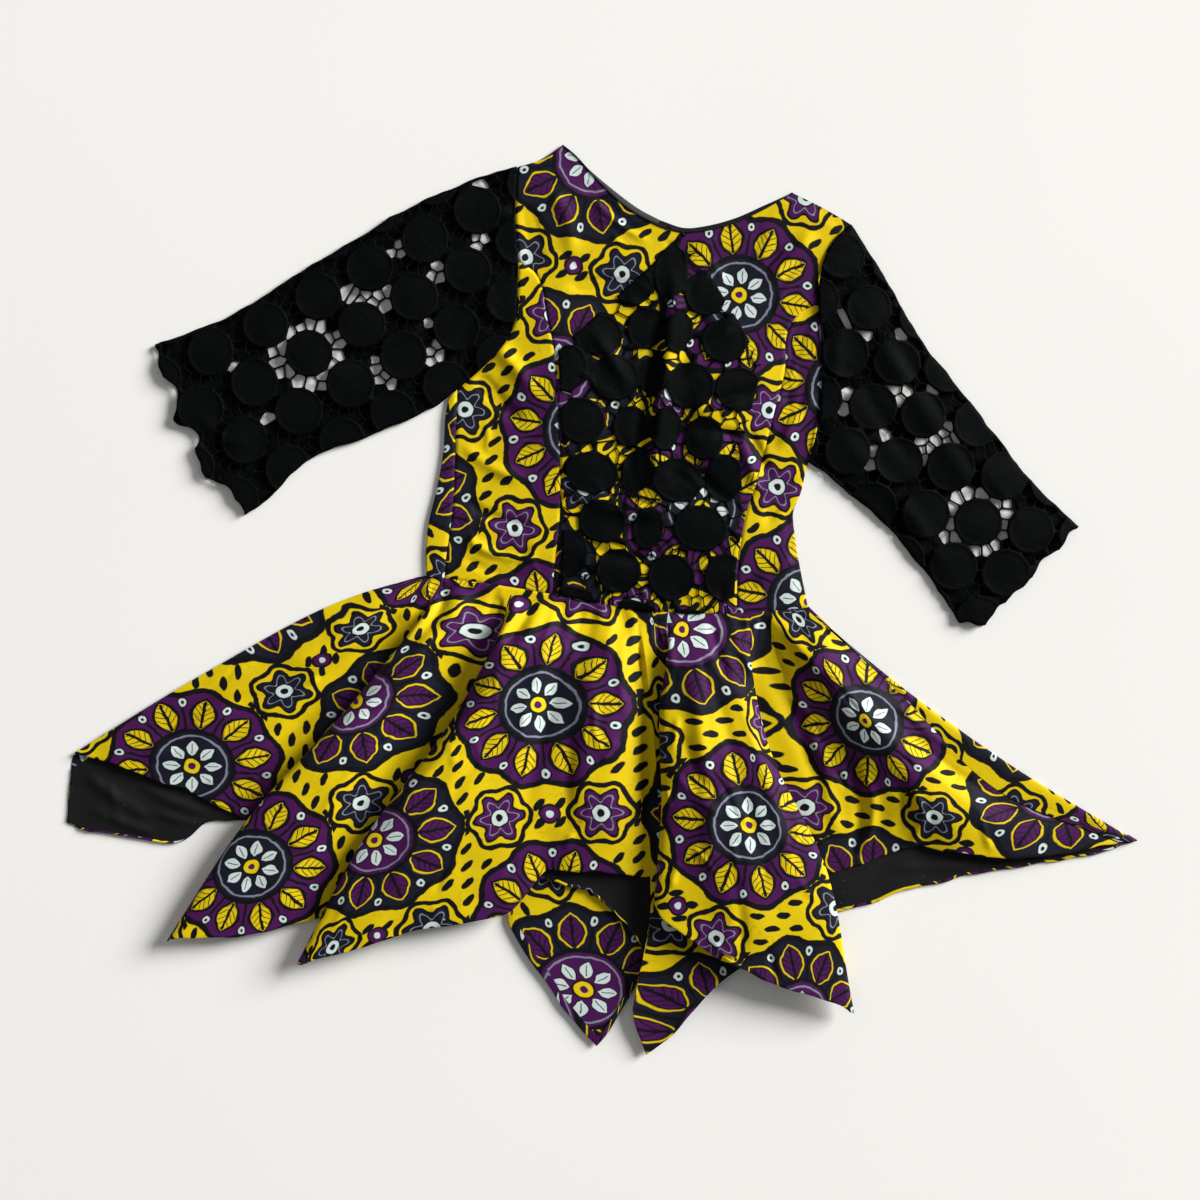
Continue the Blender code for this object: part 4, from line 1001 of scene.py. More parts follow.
def lace_layer(outline, discs, margin, rng, pitch, node_share=0.0, openings=None):
    """One layer of disc lace: flat points, faces and the relief of each point."""
    nodes = np.zeros((0, 4))
    if node_share:
        spots = lattice(outline.min(axis=0), outline.max(axis=0), KNOT_PITCH)
        spots = spots + rng.uniform(-2, 2, spots.shape)
        clear = rim_gap(spots, discs)[0].min(axis=1) > 3.5
        chosen = clear & inside(outline, spots) & (rng.random(len(spots)) < node_share)
        radii = rng.uniform(2.2, 3.2, chosen.sum())
        nodes = np.column_stack([spots[chosen], radii, radii])
    holes = lace_holes(outline, discs, nodes, margin, rng, pitch)
    if openings is not None:
        places = np.array(openings, float)
        middles = np.array([hole.mean(axis=0) for hole in holes])
        far = np.linalg.norm(middles[:, None] - places[None, :, :2], axis=2)
        shows = (far < places[:, 2]).any(axis=1)
        holes = [hole for hole, open_here in zip(holes, shows) if open_here]
    points = disc_points(outline, discs, nodes)
    for hole in holes:
        close = np.linalg.norm(points - hole.mean(axis=0), axis=1) < 14
        within = np.zeros(len(points), bool)
        within[close] = inside(hole, points[close])
        points = points[~within]
    flat, faces = triangles(outline, points, holes)
    return flat, faces, lace_relief(flat, discs, nodes)


def thickened(piece, thickness):
    solid = piece.modifiers.new("thickness", "SOLIDIFY")
    solid.thickness = thickness * MM
    solid.offset = 0.0
    return piece


def pushed_out(line, run, out, fade_over):
    """A line moved to its left by out, which fades away toward both of its ends."""
    fade = smooth(run / fade_over) * smooth((run[-1] - run) / fade_over)
    return line + (out * fade)[:, None] * left_of(np.gradient(line, axis=0))


def cuff_line(points, pitch, depth, count):
    """A cuff whose edge follows the outer discs: broad uneven lumps with small notches on them."""
    line = curve(points, count)
    run = run_of(line)
    lumps = np.abs(np.sin(np.pi * run / pitch + 0.4 * np.sin(run / 21.0))) - 0.6
    notches = 0.3 * np.sin(run / 4.1) * np.sin(run / 15.0) + 0.28 * np.sin(run / 7.9 + 1.0)
    return pushed_out(line, run, depth * (lumps + notches), 6)


SLEEVE_CREASES = {
    "sleeve_left": (
        (2.6, 12.0, (-190, 330), (-262, 276), (-330, 214), (-396, 160)),
        (-2.0, 8.0, (-180, 260), (-236, 216), (-300, 176)),
        (2.4, 9.0, (-172, 226), (-222, 190), (-268, 150), (-330, 96)),
        (-1.8, 7.0, (-240, 320), (-300, 266), (-360, 214)),
        (1.8, 7.0, (-330, 250), (-390, 200), (-440, 150)),
        (2.0, 7.0, (-168, 300), (-160, 260), (-176, 222)),
        (1.6, 6.0, (-360, 100), (-396, 92), (-432, 118)),
    ),
    "sleeve_right": (
        (2.6, 11.0, (196, 340), (248, 284), (306, 220), (372, 150)),
        (-2.0, 8.0, (200, 280), (244, 230), (292, 180)),
        (2.2, 9.0, (196, 214), (238, 180), (286, 140), (340, 88)),
        (-1.7, 7.0, (230, 320), (286, 262), (344, 206)),
        (1.8, 7.0, (300, 250), (356, 194), (412, 140)),
        (2.0, 7.0, (186, 330), (190, 280), (196, 232)),
    ),
}


def sleeve_height(x, y, edges, creases, seed):
    """Heights of a flattened tube's upper and lower layers; they meet along its two long edges."""
    turn = 0.5 * (SLEEVE_HIGH_Z - SLEEVE_LOW_Z)
    middle = 0.5 * (SLEEVE_HIGH_Z + SLEEVE_LOW_Z)
    away = np.minimum(*(distance_to(edge, x, y) for edge in edges))
    bulge = turn * np.sqrt(1 - (1 - np.clip(away / turn, 0, 1)) ** 2)
    soft = smooth(away / SLEEVE_SLOPE)
    lively = SLEEVE_SOFT + crease_height(x, y, creases) + ripple(x, y, seed)
    return middle + bulge + soft * lively, middle - bulge


def lumpy(line, seed):
    """A long edge of a sleeve: slight lumps where discs reach it, and small uneven bits of net."""
    run = run_of(line)
    lumps = 0.9 * np.abs(np.sin(np.pi * run / 44.0 + seed)) - 0.5
    out = lumps + 0.35 * np.sin(run / 3.7 + seed) * np.sin(run / 17.0) + 0.3 * np.sin(run / 8.3)
    return pushed_out(line, run, out, 12)


def sleeve(name, top, under, armhole, cuff, grid, openings, look):
    """armhole runs from shoulder to underarm; grid is the discs' origin, two steps and seed."""
    top, under = lumpy(curve(top, 190), grid[3]), lumpy(curve(under, 130), grid[3] + 1)
    outline = loop_of(armhole[::-1], top, cuff, under[::-1])
    edges = (top[::7], under[::7])
    origin, u, v, seed = grid
    parts = []
    for layer, open_here in enumerate((None, openings)):
        discs = disc_places(outline, origin, u, v, DISC_JITTER, np.random.default_rng(seed),
                            SLEEVE_DISC)
        flat, faces, relief = lace_layer(outline, discs, SLEEVE_MARGIN,
                                         np.random.default_rng(seed + 1), HOLE_PITCH,
                                         openings=open_here)
        heights = sleeve_height(flat[:, 0], flat[:, 1], edges, SLEEVE_CREASES[name], seed)
        z = heights[0] + relief if layer == 0 else np.maximum(heights[1] + 0.5 * relief, 0.5)
        cut = flat - np.array([0.0, SLEEVE_LAYERS_APART * layer])
        parts.append((np.column_stack([flat, z]), faces, cut))
    points, faces, cut = joined_parts(*parts)
    piece = thickened(make_mesh(name, points, faces, look, cut), LACE_THICK)
    worn(piece, "guipure_lace", name)
    gross = 2 * abs(signed_area(outline)) * MM**2
    around = 2 * np.linalg.norm(top[0] - under[0]) * MM
    BOX_SHARE * gross / around


BOX_SHARE = 1.35
PLEAT_TAKE = 7.0
PLEAT_REACH = 13.0
WAIST_BULGE = 2.0


def pleat_line(y):
    (x0, y0), (x1, y1), _, _ = CENTRE_PLEAT
    return x0 + (x1 - x0) * (y0 - y) / (y0 - y1)


def unpleated(plan):
    """Places on the flat lace of places on the dress: the centre pleat takes some cloth up."""
    x, y = plan.T
    take = PLEAT_TAKE * smooth((y - 70) / 110)
    return np.column_stack([x + take * np.tanh((x - pleat_line(y)) / PLEAT_REACH), y])


def lace_overlay(look):
    outline = loop_of(waist_run(LACE_LEFT, LACE_RIGHT, 60), curve(LACE_RIGHT, 90),
                      curve(LACE_TOP, 130)[::-1], curve(LACE_LEFT, 90)[::-1])
    plan, faces, relief = lace_layer(outline, OVERLAY_DISCS, OVERLAY_MARGIN,
                                     np.random.default_rng(11), OVERLAY_PITCH, node_share=0.25)
    x, y = plan.T
    lift = 0.5 * COTTON + LAYER_GAP + 0.5 * LACE_THICK
    z = bodice_height(x, y) + lift + relief
    z = z - 0.6 * seam_dip(distance_to(WAIST, x, y))
    bulge = np.exp(-((y - waist_y(x) - 7.0) / 6.0) ** 2) * (0.5 + 0.5 * np.sin(x / 9.0 + 1.0))
    z = z + WAIST_BULGE * bulge
    piece = make_mesh("lace_overlay", np.column_stack([plan, z]), faces, look, unpleated(plan))
    worn(thickened(piece, LACE_THICK), "guipure_lace", "lace_overlay")
    edge = unpleated(outline)
    abs(signed_area(edge)) * MM**2


# ---------------------------------------------------------------------------------------------
# Skirt

SKIRT_PITCH = 2.6
TUCK = 3.2
HEM_ROUND = 0.8
HEM_TURN = 9.0
WAIST_RADIUS = 122.0
# distances from the waist at which the rays' spacing is measured and the fan is laid out flat
SPACED_AT = np.array([150.0, 250.0, 320.0])
LAID_OUT_AT = 280.0
LEAST_COLUMNS = 4
# rows of points: close together down to NEAR_WAIST, then evenly to the hem
NEAR_WAIST = 60
NEAR_ROWS = 26
HEM_ROWS = 120
SKIRT_CALM = 20
HEM_ANGLES = np.radians((50, 100, 150, 180))
# up to STRIP_X the waist of the front lies at a share of its height, then it rises to all of it
STRIP_X = -180
STRIP_RISE = 20
STRIP_SHARE = 0.27
FACING_ROWS = 34
FACING_INSET = 1.2
FACING_LIP = 0.8
FACING_CLEAR = 0.15
# the roll of print round the hem: half widths across and up, where its middle lies, and its tail
ROLL_REACH = 1.6
ROLL_HALF = (1.5, 1.35)
ROLL_MIDDLE = (-0.9, 1.25)
ROLL_TAIL = (-2.2, 0.95)
ROLL_TAIL_RUN = 2.5
ROLL_UNEVEN = 1.2
ROLL_LEAST = 0.35
ROLL_END = 10
CREASE_GAIN = 1.5

SKIRT_CREASES = (
    (2.6, 9.0, (-196, -34), (-250, -84), (-318, -134), (-392, -186)),
    (-3.0, 8.0, (-172, -34), (-212, -92), (-262, -158), (-318, -222)),
    (1.5, 5.0, (-186, -50), (-228, -84), (-276, -118)),
    (-1.4, 6.0, (-250, -110), (-310, -160), (-362, -214)),
    (1.6, 7.0, (-330, -160), (-386, -206), (-430, -246)),
    (-1.2, 5.0, (-232, -64), (-300, -104), (-356, -140)),
    (2.4, 8.0, (-132, -40), (-176, -100), (-226, -166), (-280, -240)),
    (-2.8, 9.0, (-104, -40), (-132, -110), (-168, -180), (-196, -260)),
    (-1.6, 5.0, (-140, -60), (-180, -130), (-228, -210)),
    (1.3, 5.0, (-176, -150), (-214, -216), (-250, -290)),
    (1.8, 6.0, (-128, -22), (-140, -60), (-160, -96)),
    (-1.2, 8.0, (-240, -250), (-280, -310), (-310, -360)),
    (3.0, 10.0, (-72, -40), (-98, -110), (-136, -190), (-176, -280)),
    (-2.0, 8.0, (-52, -40), (-72, -110), (-100, -190), (-124, -260)),
    (1.6, 7.0, (-36, -30), (-50, -100), (-64, -180)),
    (-1.6, 7.0, (-84, -60), (-118, -140), (-160, -230)),
    (1.2, 6.0, (-120, -200), (-140, -270), (-160, -330)),
    (-2.4, 10.0, (-22, -30), (-30, -100), (-36, -180), (-40, -240)),
    (2.4, 12.0, (6, -30), (4, -90), (10, -160), (16, -230)),
    (-3.2, 11.0, (44, -24), (56, -80), (76, -150), (92, -230)),
    (1.4, 6.0, (26, -20), (34, -70), (48, -120)),
    (-1.2, 6.0, (-8, -120), (0, -180), (8, -240)),
    (2.8, 9.0, (92, -30), (116, -100), (140, -180), (160, -270)),
    (-2.2, 8.0, (104, -20), (138, -90), (176, -170), (214, -250)),
    (1.8, 7.0, (126, -24), (166, -96), (208, -176), (246, -260)),
    (-1.4, 5.0, (100, -110), (124, -150), (150, -176)),
    (1.3, 4.5, (98, -150), (126, -176), (160, -190)),
    (-1.3, 6.0, (170, -230), (190, -280), (200, -330)),
    (-2.8, 10.0, (160, -10), (200, -64), (236, -120), (268, -170)),
    (2.4, 8.0, (214, -80), (246, -120), (262, -160), (280, -200)),
    (-2.4, 7.0, (262, -96), (286, -140), (296, -176), (290, -214)),
    (2.6, 6.0, (276, -110), (302, -150), (304, -186), (290, -216)),
    (-2.0, 6.0, (318, -120), (336, -150), (330, -184)),
    (2.4, 5.0, (334, -126), (354, -160), (346, -190)),
    (1.8, 9.0, (186, 8), (250, -44), (330, -96), (420, -142)),
    (-1.8, 6.0, (206, 0), (280, -52), (370, -104), (470, -146)),
    (1.2, 4.0, (214, 4), (300, -48), (400, -100), (500, -142)),
    (-4.2, 6.0, (-156, -4), (-154, -30), (-170, -66), (-196, -96)),
    (2.6, 6.0, (-168, -4), (-176, -34), (-200, -60)),
    (2.4, 6.0, (-136, -4), (-138, -34), (-150, -64)),
    (-4.0, 6.5, (-100, -2), (-102, -36), (-116, -80), (-134, -116)),
    (2.6, 6.0, (-84, -2), (-86, -34), (-96, -70)),
    (-3.2, 5.5, (-62, -2), (-70, -32), (-86, -66)),
    (2.0, 6.0, (-40, -2), (-44, -34), (-52, -66)),
    (-2.6, 6.0, (-16, -2), (-18, -34), (-24, -62)),
    (2.0, 7.0, (14, -4), (16, -34), (18, -62)),
    (-3.4, 6.0, (46, -4), (50, -36), (60, -74)),
    (2.4, 6.0, (66, -2), (74, -34), (86, -62)),
    (-2.6, 5.5, (112, 0), (124, -30), (140, -60)),
    (2.4, 6.0, (132, 4), (148, -26), (168, -54)),
    (-3.4, 6.5, (154, 8), (176, -22), (200, -54)),
    (2.0, 6.0, (178, 14), (204, -14), (234, -42)),
)
SKIRT_SMALL = small_creases(52, 80, (-420, -360), (420, -30), (10, 160), 0.35)
FLAP_CREASES = (
    (2.2, 6.0, (-484, -256), (-446, -276), (-396, -296)),
    (1.8, 4.5, (-470, -292), (-430, -302), (-390, -308)),
    (2.0, 5.0, (-430, -258), (-388, -272), (-340, -280)),
    (1.6, 4.0, (-410, -284), (-372, -290), (-336, -288)),
    (1.4, 4.0, (-452, -262), (-440, -290), (-432, -312)),
    (1.1, 4.5, (330, -214), (370, -206), (420, -196)),
    (-0.9, 4.0, (10, -290), (50, -280), (80, -300)),
)


# gathers at the waist seam, broad ones that run on down and fine ones: height, pitch, sway and
# its pitch, pitch and phase of their swell, where they start to fade, over how far, first rise
GATHERS = (
    (2.3, 5.4, 1.2, 26.0, 31.0, 2.0, 12, 48.0, 14),
    (0.7, 2.6, 1.3, 17.0, 23.0, 1.0, 4, 15.0, 5),
)


def pucker(x, s):
    """How the waist seam's gathers raise the cloth at x on the waist and s from it."""
    total = 0.0
    for height, pitch, sway, sway_pitch, swell_pitch, phase, start, reach, rise in GATHERS:
        wave = np.sin(x / pitch + sway * np.sin(x / sway_pitch))
        wave = wave * (0.6 + 0.4 * np.sin(x / swell_pitch + phase))
        fade = np.exp(-(np.maximum(s - start, 0) / reach) ** 2)
        total = total + height * wave * fade * smooth(s / rise)
    return total


def fine_columns(sheet, first=0.0, last=None):
    """Ray positions about SKIRT_PITCH apart halfway down, and at least four between two rays."""
    last = len(sheet.rays) - 1.0 if last is None else last
    spots = []
    for k, (a, b) in enumerate(zip(sheet.rays[:-1], sheet.rays[1:])):
        gap = np.linalg.norm(b(SPACED_AT) - a(SPACED_AT), axis=1).max()
        count = max(LEAST_COLUMNS, int(np.ceil(gap / SKIRT_PITCH)))
        spots += [k + i / count for i in range(count)]
    spots = np.array(spots + [len(sheet.rays) - 1.0])
    return np.concatenate([[first], spots[(spots > first + 0.02) & (spots < last - 0.02)], [last]])


def visible_share(sheet, columns):
    """1 where a column lies on top, and 0 where it is folded in under another layer."""
    under = ("_turn", "_under", "_over")
    hidden = [float(any(word in name for word in under)) for name in sheet.names]
    return 1 - np.interp(columns, np.arange(len(hidden)), hidden)


def fan_cut(sheet, columns, distances):
    """Places on the flat cloth: the fan is laid out again round its waist."""
    here = np.array([sheet.column(t, np.array([LAID_OUT_AT]))[0] for t in columns])
    angle = run_of(here) / (WAIST_RADIUS + LAID_OUT_AT)
    angle = angle - angle[-1] / 2
    reach = WAIST_RADIUS + distances
    return np.stack([reach * np.sin(angle)[None], -reach * np.cos(angle)[None]], axis=2)


def skirt_half(name, sheet, look, creases, seed, offset, strength):
    """One half of the skirt: tucked in at the waist, creased, and turned under along its hem."""
    columns = fine_columns(sheet)
    near = np.linspace(0, NEAR_WAIST, NEAR_ROWS)
    share = np.linspace(0, 1, HEM_ROWS)[1:]
    rows = lambda t: np.concatenate([near, near[-1] + (sheet.hem(t) - near[-1]) * share])
    points, normals = sheet.surface(columns, rows)
    distances = np.stack([rows(t) for t in columns], axis=1)
    x, y = points[..., 0], points[..., 1]
    shown = visible_share(sheet, columns)[None]
    wavy = CREASE_GAIN * crease_height(x, y, creases) + ripple(x, y, seed)
    lively = smooth(distances / SKIRT_CALM) * wavy + pucker(x[:1], distances)
    calm = points[..., 2].copy()
    points[..., 2] = np.maximum(calm + strength * shown * lively, np.minimum(calm, LOWEST_TROUGH))
    down = unit(np.gradient(points, axis=0))
    head = points[:1] - TUCK * down[:1]
    head[..., 2] -= SEAM_DIP + 0.6
    rows_out, row_distances = [head, points], [distances[:1] - TUCK, distances]
    edge, out, up = points[-1:], down[-1:], normals[-1:]
    for angle in HEM_ANGLES:
        rows_out.append(edge + HEM_ROUND * (out * np.sin(angle) - up * (1 - np.cos(angle))))
        row_distances.append(distances[-1:] + HEM_ROUND * angle)
    rows_out.append(edge - 2 * HEM_ROUND * up - HEM_TURN * out)
    row_distances.append(distances[-1:] + HEM_TURN)
    grid = np.concatenate(rows_out)
    cut = fan_cut(sheet, columns, np.concatenate(row_distances)) + offset
    grid[..., 2] = np.maximum(grid[..., 2], LOWEST)
    piece = worn(grid_piece(name, grid, cut, look), "wax_print_cotton", name)


def facing(name, sheet, t0, t1, depth, look):
    columns = fine_columns(sheet, t0, t1)
    share = np.linspace(0, 1, FACING_ROWS)
    rows = lambda t: sheet.hem(t) - depth + (depth - FACING_INSET) * share
    points, normals = sheet.surface(columns, rows)
    lift = 0.5 * COTTON + LAYER_GAP + FACING_CLEAR + 0.5 * FACING
    points = points + lift * normals
    x, y = points[..., 0], points[..., 1]
    points[..., 2] += 0.5 * ripple(x, y, 21) + np.maximum(crease_height(x, y, FLAP_CREASES), -0.3)
    lip = points[:1] - FACING_LIP * normals[:1]
    grid = np.concatenate([lip, points])
    distances = np.stack([rows(t) for t in columns], axis=1)
    cut = fan_cut(sheet, columns, np.concatenate([distances[:1] - 1, distances]))
    piece = worn(grid_piece(name, grid, cut, look), "black_facing", name)


def hem_roll(name, sheet, t0, t1, look, offset):
    """Where the facing shows, the print comes round the hem on to it as a thin roll."""
    columns = fine_columns(sheet, t0, t1)
    hem = lambda t: np.array([sheet.hem(t)])
    points, normals = sheet.surface(columns, hem)
    edge, up = points[0], normals[0]
    above = np.array([sheet.column(t, np.array([sheet.hem(t) - 1.0]))[0] for t in columns])
    out = unit(edge - above)
    run = run_of(edge)
    ends = smooth(run / ROLL_END) * smooth((run[-1] - run) / ROLL_END)
    fade = ROLL_LEAST + (1 - ROLL_LEAST) * ends
    wide = 1.0 + 0.25 * np.sin(run / 13.0) + 0.15 * np.sin(run / 5.1)
    rows, cuts = [], []
    for angle in np.radians(np.arange(-90, 181, 27)):
        across = ROLL_MIDDLE[0] + ROLL_HALF[0] * np.cos(angle)
        high = (ROLL_MIDDLE[1] + ROLL_HALF[1] * np.sin(angle)) * fade
        rows.append(edge + across * out + high[:, None] * up)
        cuts.append(ROLL_REACH * angle)
    across = ROLL_TAIL[0] - ROLL_UNEVEN * wide
    rows.append(edge + across[:, None] * out + (ROLL_TAIL[1] * fade)[:, None] * up)
    cuts.append(ROLL_REACH * np.pi + ROLL_TAIL_RUN)
    grid = np.stack(rows)
    grid[..., 2] = np.maximum(grid[..., 2], 0.5 * LOWEST)
    reach = np.array(cuts)[:, None] + np.array([sheet.hem(t) for t in columns])[None]
    cut = fan_cut(sheet, columns, reach) + offset
    kind = "black_facing" if name.endswith("_black") else "wax_print_cotton"
    worn(grid_piece(name, grid, cut, look), kind)


def front_start(x):
    """Height of the skirt front at the waist seam: lower at the strip, lowest at the right end."""
    left = float(smooth((x - STRIP_X) / STRIP_RISE))
    right = float(smooth((SIDE_RIGHT[0][0] - x) / SIDE_SLOPE))
    share = STRIP_SHARE + (1 - STRIP_SHARE) * left
    return FRONT_EDGE_Z + (FRONT_Z - FRONT_EDGE_Z) * share * right


def skirt(looks):
    front = Sheet(raised(fan(SKIRT_FRONT, front_start, FRONT_RISE_SHARE)))
    back = Sheet(drawn_in(fan(SKIRT_BACK, lambda x: BACK_Z, 1.0), "right_out", "left_in"))
    creases = (*SKIRT_CREASES, *SKIRT_SMALL)
    skirt_half("skirt_front", front, looks["print"], creases, 7, UNMOVED, 1.0)
    skirt_half("skirt_back", back, looks["print"], (), 9, SKIRT_BACK_PRINT, 0.3)
    for name, first, a, last, b, depth, clear, till in FACINGS:
        t0, t1 = back.names.index(first) + a, back.names.index(last) + b
        facing(name, back, t0, t1, depth, looks["facing"])
        turn = t0 + till * (t1 - t0)
        roll = name.replace("facing", "roll")
        start = t0 + clear * (t1 - t0)
        hem_roll(roll, back, start, turn, looks["print"], SKIRT_BACK_PRINT)
        if turn < t1:
            hem_roll(roll + "_black", back, turn, t1, looks["facing"], UNMOVED)


# ---------------------------------------------------------------------------------------------
# Trims

def swept(name, line, section, look, closed=False, scale=None):
    """A strip or cord: a section of (across, up) points carried along a line of (x, y, z)."""
    along = unit(np.gradient(line, axis=0))
    across = unit(np.column_stack([-along[:, 1], along[:, 0], np.zeros(len(line))]))
    up = np.cross(along, across)
    section = np.array(section, float)
    wide = np.ones(len(line)) if scale is None else scale
    grid = (line[:, None] + wide[:, None, None] * section[None, :, :1] * across[:, None]
            + section[None, :, 1:] * up[:, None])
    n = len(section)
    faces = grid_quads(len(line), n).tolist()
    if closed:
        faces += [[r + n - 1, r, r + n, r + 2 * n - 1] for r in range(0, n * (len(line) - 1), n)]
    cut = np.stack(np.meshgrid(run_of(line), run_of(section), indexing="ij"), axis=2).reshape(-1, 2)
    return make_mesh(name, grid.reshape(-1, 3), faces, look, cut)


def neck_binding(look):
    """The bound edge of the front neckline; near the shoulders it rolls under to a thin line."""
    line = joined((NECK_FRONT[:6], 70), (NECK_FRONT[5:], 60))
    z = bodice_height(line[:, 0], line[:, 1])
    path = np.column_stack([line, z + 0.2 + 0.05 * np.sin(np.arange(len(line)) / 2.3)])
    section = ((-0.8, -1.0), (-1.0, 0.1), (-0.6, 0.75), (0.2, 0.9), (1.2, 0.8), (2.1, 0.3),
               (2.4, -0.5), (2.2, -1.4))
    broad = 0.4 + 0.6 * np.exp(-((line[:, 0] - 12.0) / 42.0) ** 2)
    piece = swept("neck_binding", path, section, look, scale=broad)
    worn(piece, "bias_binding", "neck_binding")


NECK_FACING_UP = 0.55


def neck_facing(grey, black):
    """A strip along the back neckline, which shows beyond the front one, grey on the left and black
    on the right.
    """
    section = ((-11.0, 0.0), (-6.0, 0.25), (-1.0, 0.3), (0.2, 0.1), (0.5, -0.5), (0.2, -0.9))
    for name, part, look in (("left", NECK_BACK[:4], grey), ("right", NECK_BACK[3:], black)):
        line = curve(part, 50)
        path = np.column_stack([line, np.full(len(line), BACK_Z + NECK_FACING_UP)])
        worn(swept(f"back_neck_facing_{name}", path, section, look), "black_facing")


def neck_knots(look):
    """Two small thread loops on the neckline, left of its lowest point."""
    loops = ((3.5, 377.5, 2.2, 0.3), (18.0, 375.0, 2.8, 1.4))
    for number, (x, y, size, turn) in enumerate(loops):
        a = np.linspace(0, 2 * np.pi, 26)
        ring = np.column_stack([x + size * np.cos(a + turn), y + 0.7 * size * np.sin(a),
                                3.6 + 0.5 * np.sin(2 * a)])
        section = 0.8 * round_points(8)
        worn(swept(f"neck_loop_{number + 1}", ring, section, look, closed=True), "bias_binding")


# ---------------------------------------------------------------------------------------------
# Materials

def linear(r, g, b):
    """A colour given in sRGB, 0 to 255, as Blender's linear values."""
    return (*(((c / 255 + 0.055) / 1.055) ** 2.4 if c > 10 else c / 3294.6 for c in (r, g, b)), 1.0)


YELLOW = linear(230, 201, 3)
DEEP_YELLOW = linear(208, 176, 2)
PURPLE = linear(72, 16, 80)
NAVY = linear(19, 21, 36)
INK = linear(9, 10, 15)
PALE = linear(206, 220, 218)
GREY = linear(128, 132, 146)


class Value:
    """A number worked out by shader nodes, written as plain arithmetic."""

    def __init__(self, graph, socket):
        self.graph, self.socket = graph, socket

    def with_(self, operation, *others, clamp=False):
        return self.graph.maths(operation, self, *others, clamp=clamp)

    def __add__(self, other):
        return self.with_("ADD", other)

    def __sub__(self, other):
        return self.with_("SUBTRACT", other)

    def __mul__(self, other):
        return self.with_("MULTIPLY", other)

    def __truediv__(self, other):
        return self.with_("DIVIDE", other)

    def __rsub__(self, other):
        return self.graph.maths("SUBTRACT", other, self)

    __radd__, __rmul__ = __add__, __mul__

    def __abs__(self):
        return self.with_("ABSOLUTE")

    def floor(self):
        return self.with_("FLOOR")

    def sin(self):
        return self.with_("SINE")

    def cos(self):
        return self.with_("COSINE")

    def most(self, other):
        return self.with_("MAXIMUM", other)


class Graph:
    """The nodes of one material."""

    def __init__(self, name, roughness, **settings):
        self.material = bpy.data.materials.new(name)
        self.material.use_nodes = True
        self.tree = self.material.node_tree
        self.shader = self.tree.nodes["Principled BSDF"]
        self.shader.inputs["Roughness"].default_value = roughness
        for socket, value in settings.items():
            self.shader.inputs[socket.replace("_", " ")].default_value = value

    def node(self, kind, **settings):
        node = self.tree.nodes.new(kind)
        for key, value in settings.items():
            setattr(node, key, value)
        return node

    def put(self, socket, value):
        if isinstance(value, Value):
            self.tree.links.new(value.socket, socket)
        elif isinstance(value, bpy.types.NodeSocket):
            self.tree.links.new(value, socket)
        else:
            socket.default_value = value

    def maths(self, operation, *values, clamp=False):
        node = self.node("ShaderNodeMath", operation=operation, use_clamp=clamp)
        for socket, value in zip(node.inputs, values):
            self.put(socket, value)
        return Value(self, node.outputs[0])

    def root_of_squares(self, a, b):
        return self.maths("SQRT", a * a + b * b)

    def mix(self, share, a, b):
        node = self.node("ShaderNodeMix", data_type="RGBA")
        self.put(node.inputs["Factor"], share)
        self.put(node.inputs[6], a)
        self.put(node.inputs[7], b)
        return node.outputs[2]

    def cut_place(self):
        """Place on the flat cloth, in millimetres."""
        uv = self.node("ShaderNodeUVMap", uv_map="cut").outputs[0]
        split = self.node("ShaderNodeSeparateXYZ")
        self.put(split.inputs[0], uv)
        return uv, Value(self, split.outputs[0]), Value(self, split.outputs[1])

    def noise(self, place, pitch, detail=2.0, roughness=0.5, offset=0.0):
        """Noise of a given grain in millimetres, from 0 to 1."""
        node = self.node("ShaderNodeTexNoise", noise_dimensions="2D")
        node.inputs["Scale"].default_value = 1.0 / pitch
        node.inputs["Detail"].default_value = detail
        node.inputs["Roughness"].default_value = roughness
        if offset:
            shift = self.node("ShaderNodeVectorMath", operation="ADD")
            self.put(shift.inputs[0], place)
            shift.inputs[1].default_value = (offset, -offset, 0.0)
            place = shift.outputs[0]
        self.put(node.inputs["Vector"], place)
        return Value(self, node.outputs[0])

    def cover(self, distance, softness=0.7):
        """1 inside a shape, where its distance is below zero, and 0 outside, with a soft edge."""
        return self.maths("MULTIPLY_ADD", distance, -1.0 / softness, 0.5, clamp=True)

    def weave(self, x, y, pitch):
        """Height of a plain weave of a given pitch in millimetres, from 0 to 1."""
        k = 2 * math.pi / pitch
        return ((x * k).sin() * (y * k).sin()) * 0.5 + 0.5

    def finish(self, colour, height, depth):
        """Colour, and a bump whose full height is depth millimetres."""
        self.put(self.shader.inputs["Base Color"], colour)
        bump = self.node("ShaderNodeBump")
        bump.inputs["Strength"].default_value = 1.0
        bump.inputs["Distance"].default_value = depth * MM
        self.put(bump.inputs["Height"], height)
        self.tree.links.new(bump.outputs[0], self.shader.inputs["Normal"])
        return self.material


TILE_WIDE, TILE_HIGH = 168.0, 216.0
PETALS = 10
LEAF_MIDDLE, LEAF_REACH, LEAF_HALF = 57.0, 19.0, 13.5
ECHO = 80.0
MEDALLION = 36.5
FLOWER_X = TILE_WIDE - (TILE_WIDE**2 + TILE_HIGH**2 / 4) / (2 * TILE_WIDE)
SEED_X, SEED_Y = TILE_WIDE / 9, TILE_HIGH / 12
CRACKLE_PITCH, CRACKLE_WAVE, CRACKLE_SWAY, CRACKLE_STRENGTH = 34.0, 13.0, 16.0, 0.28


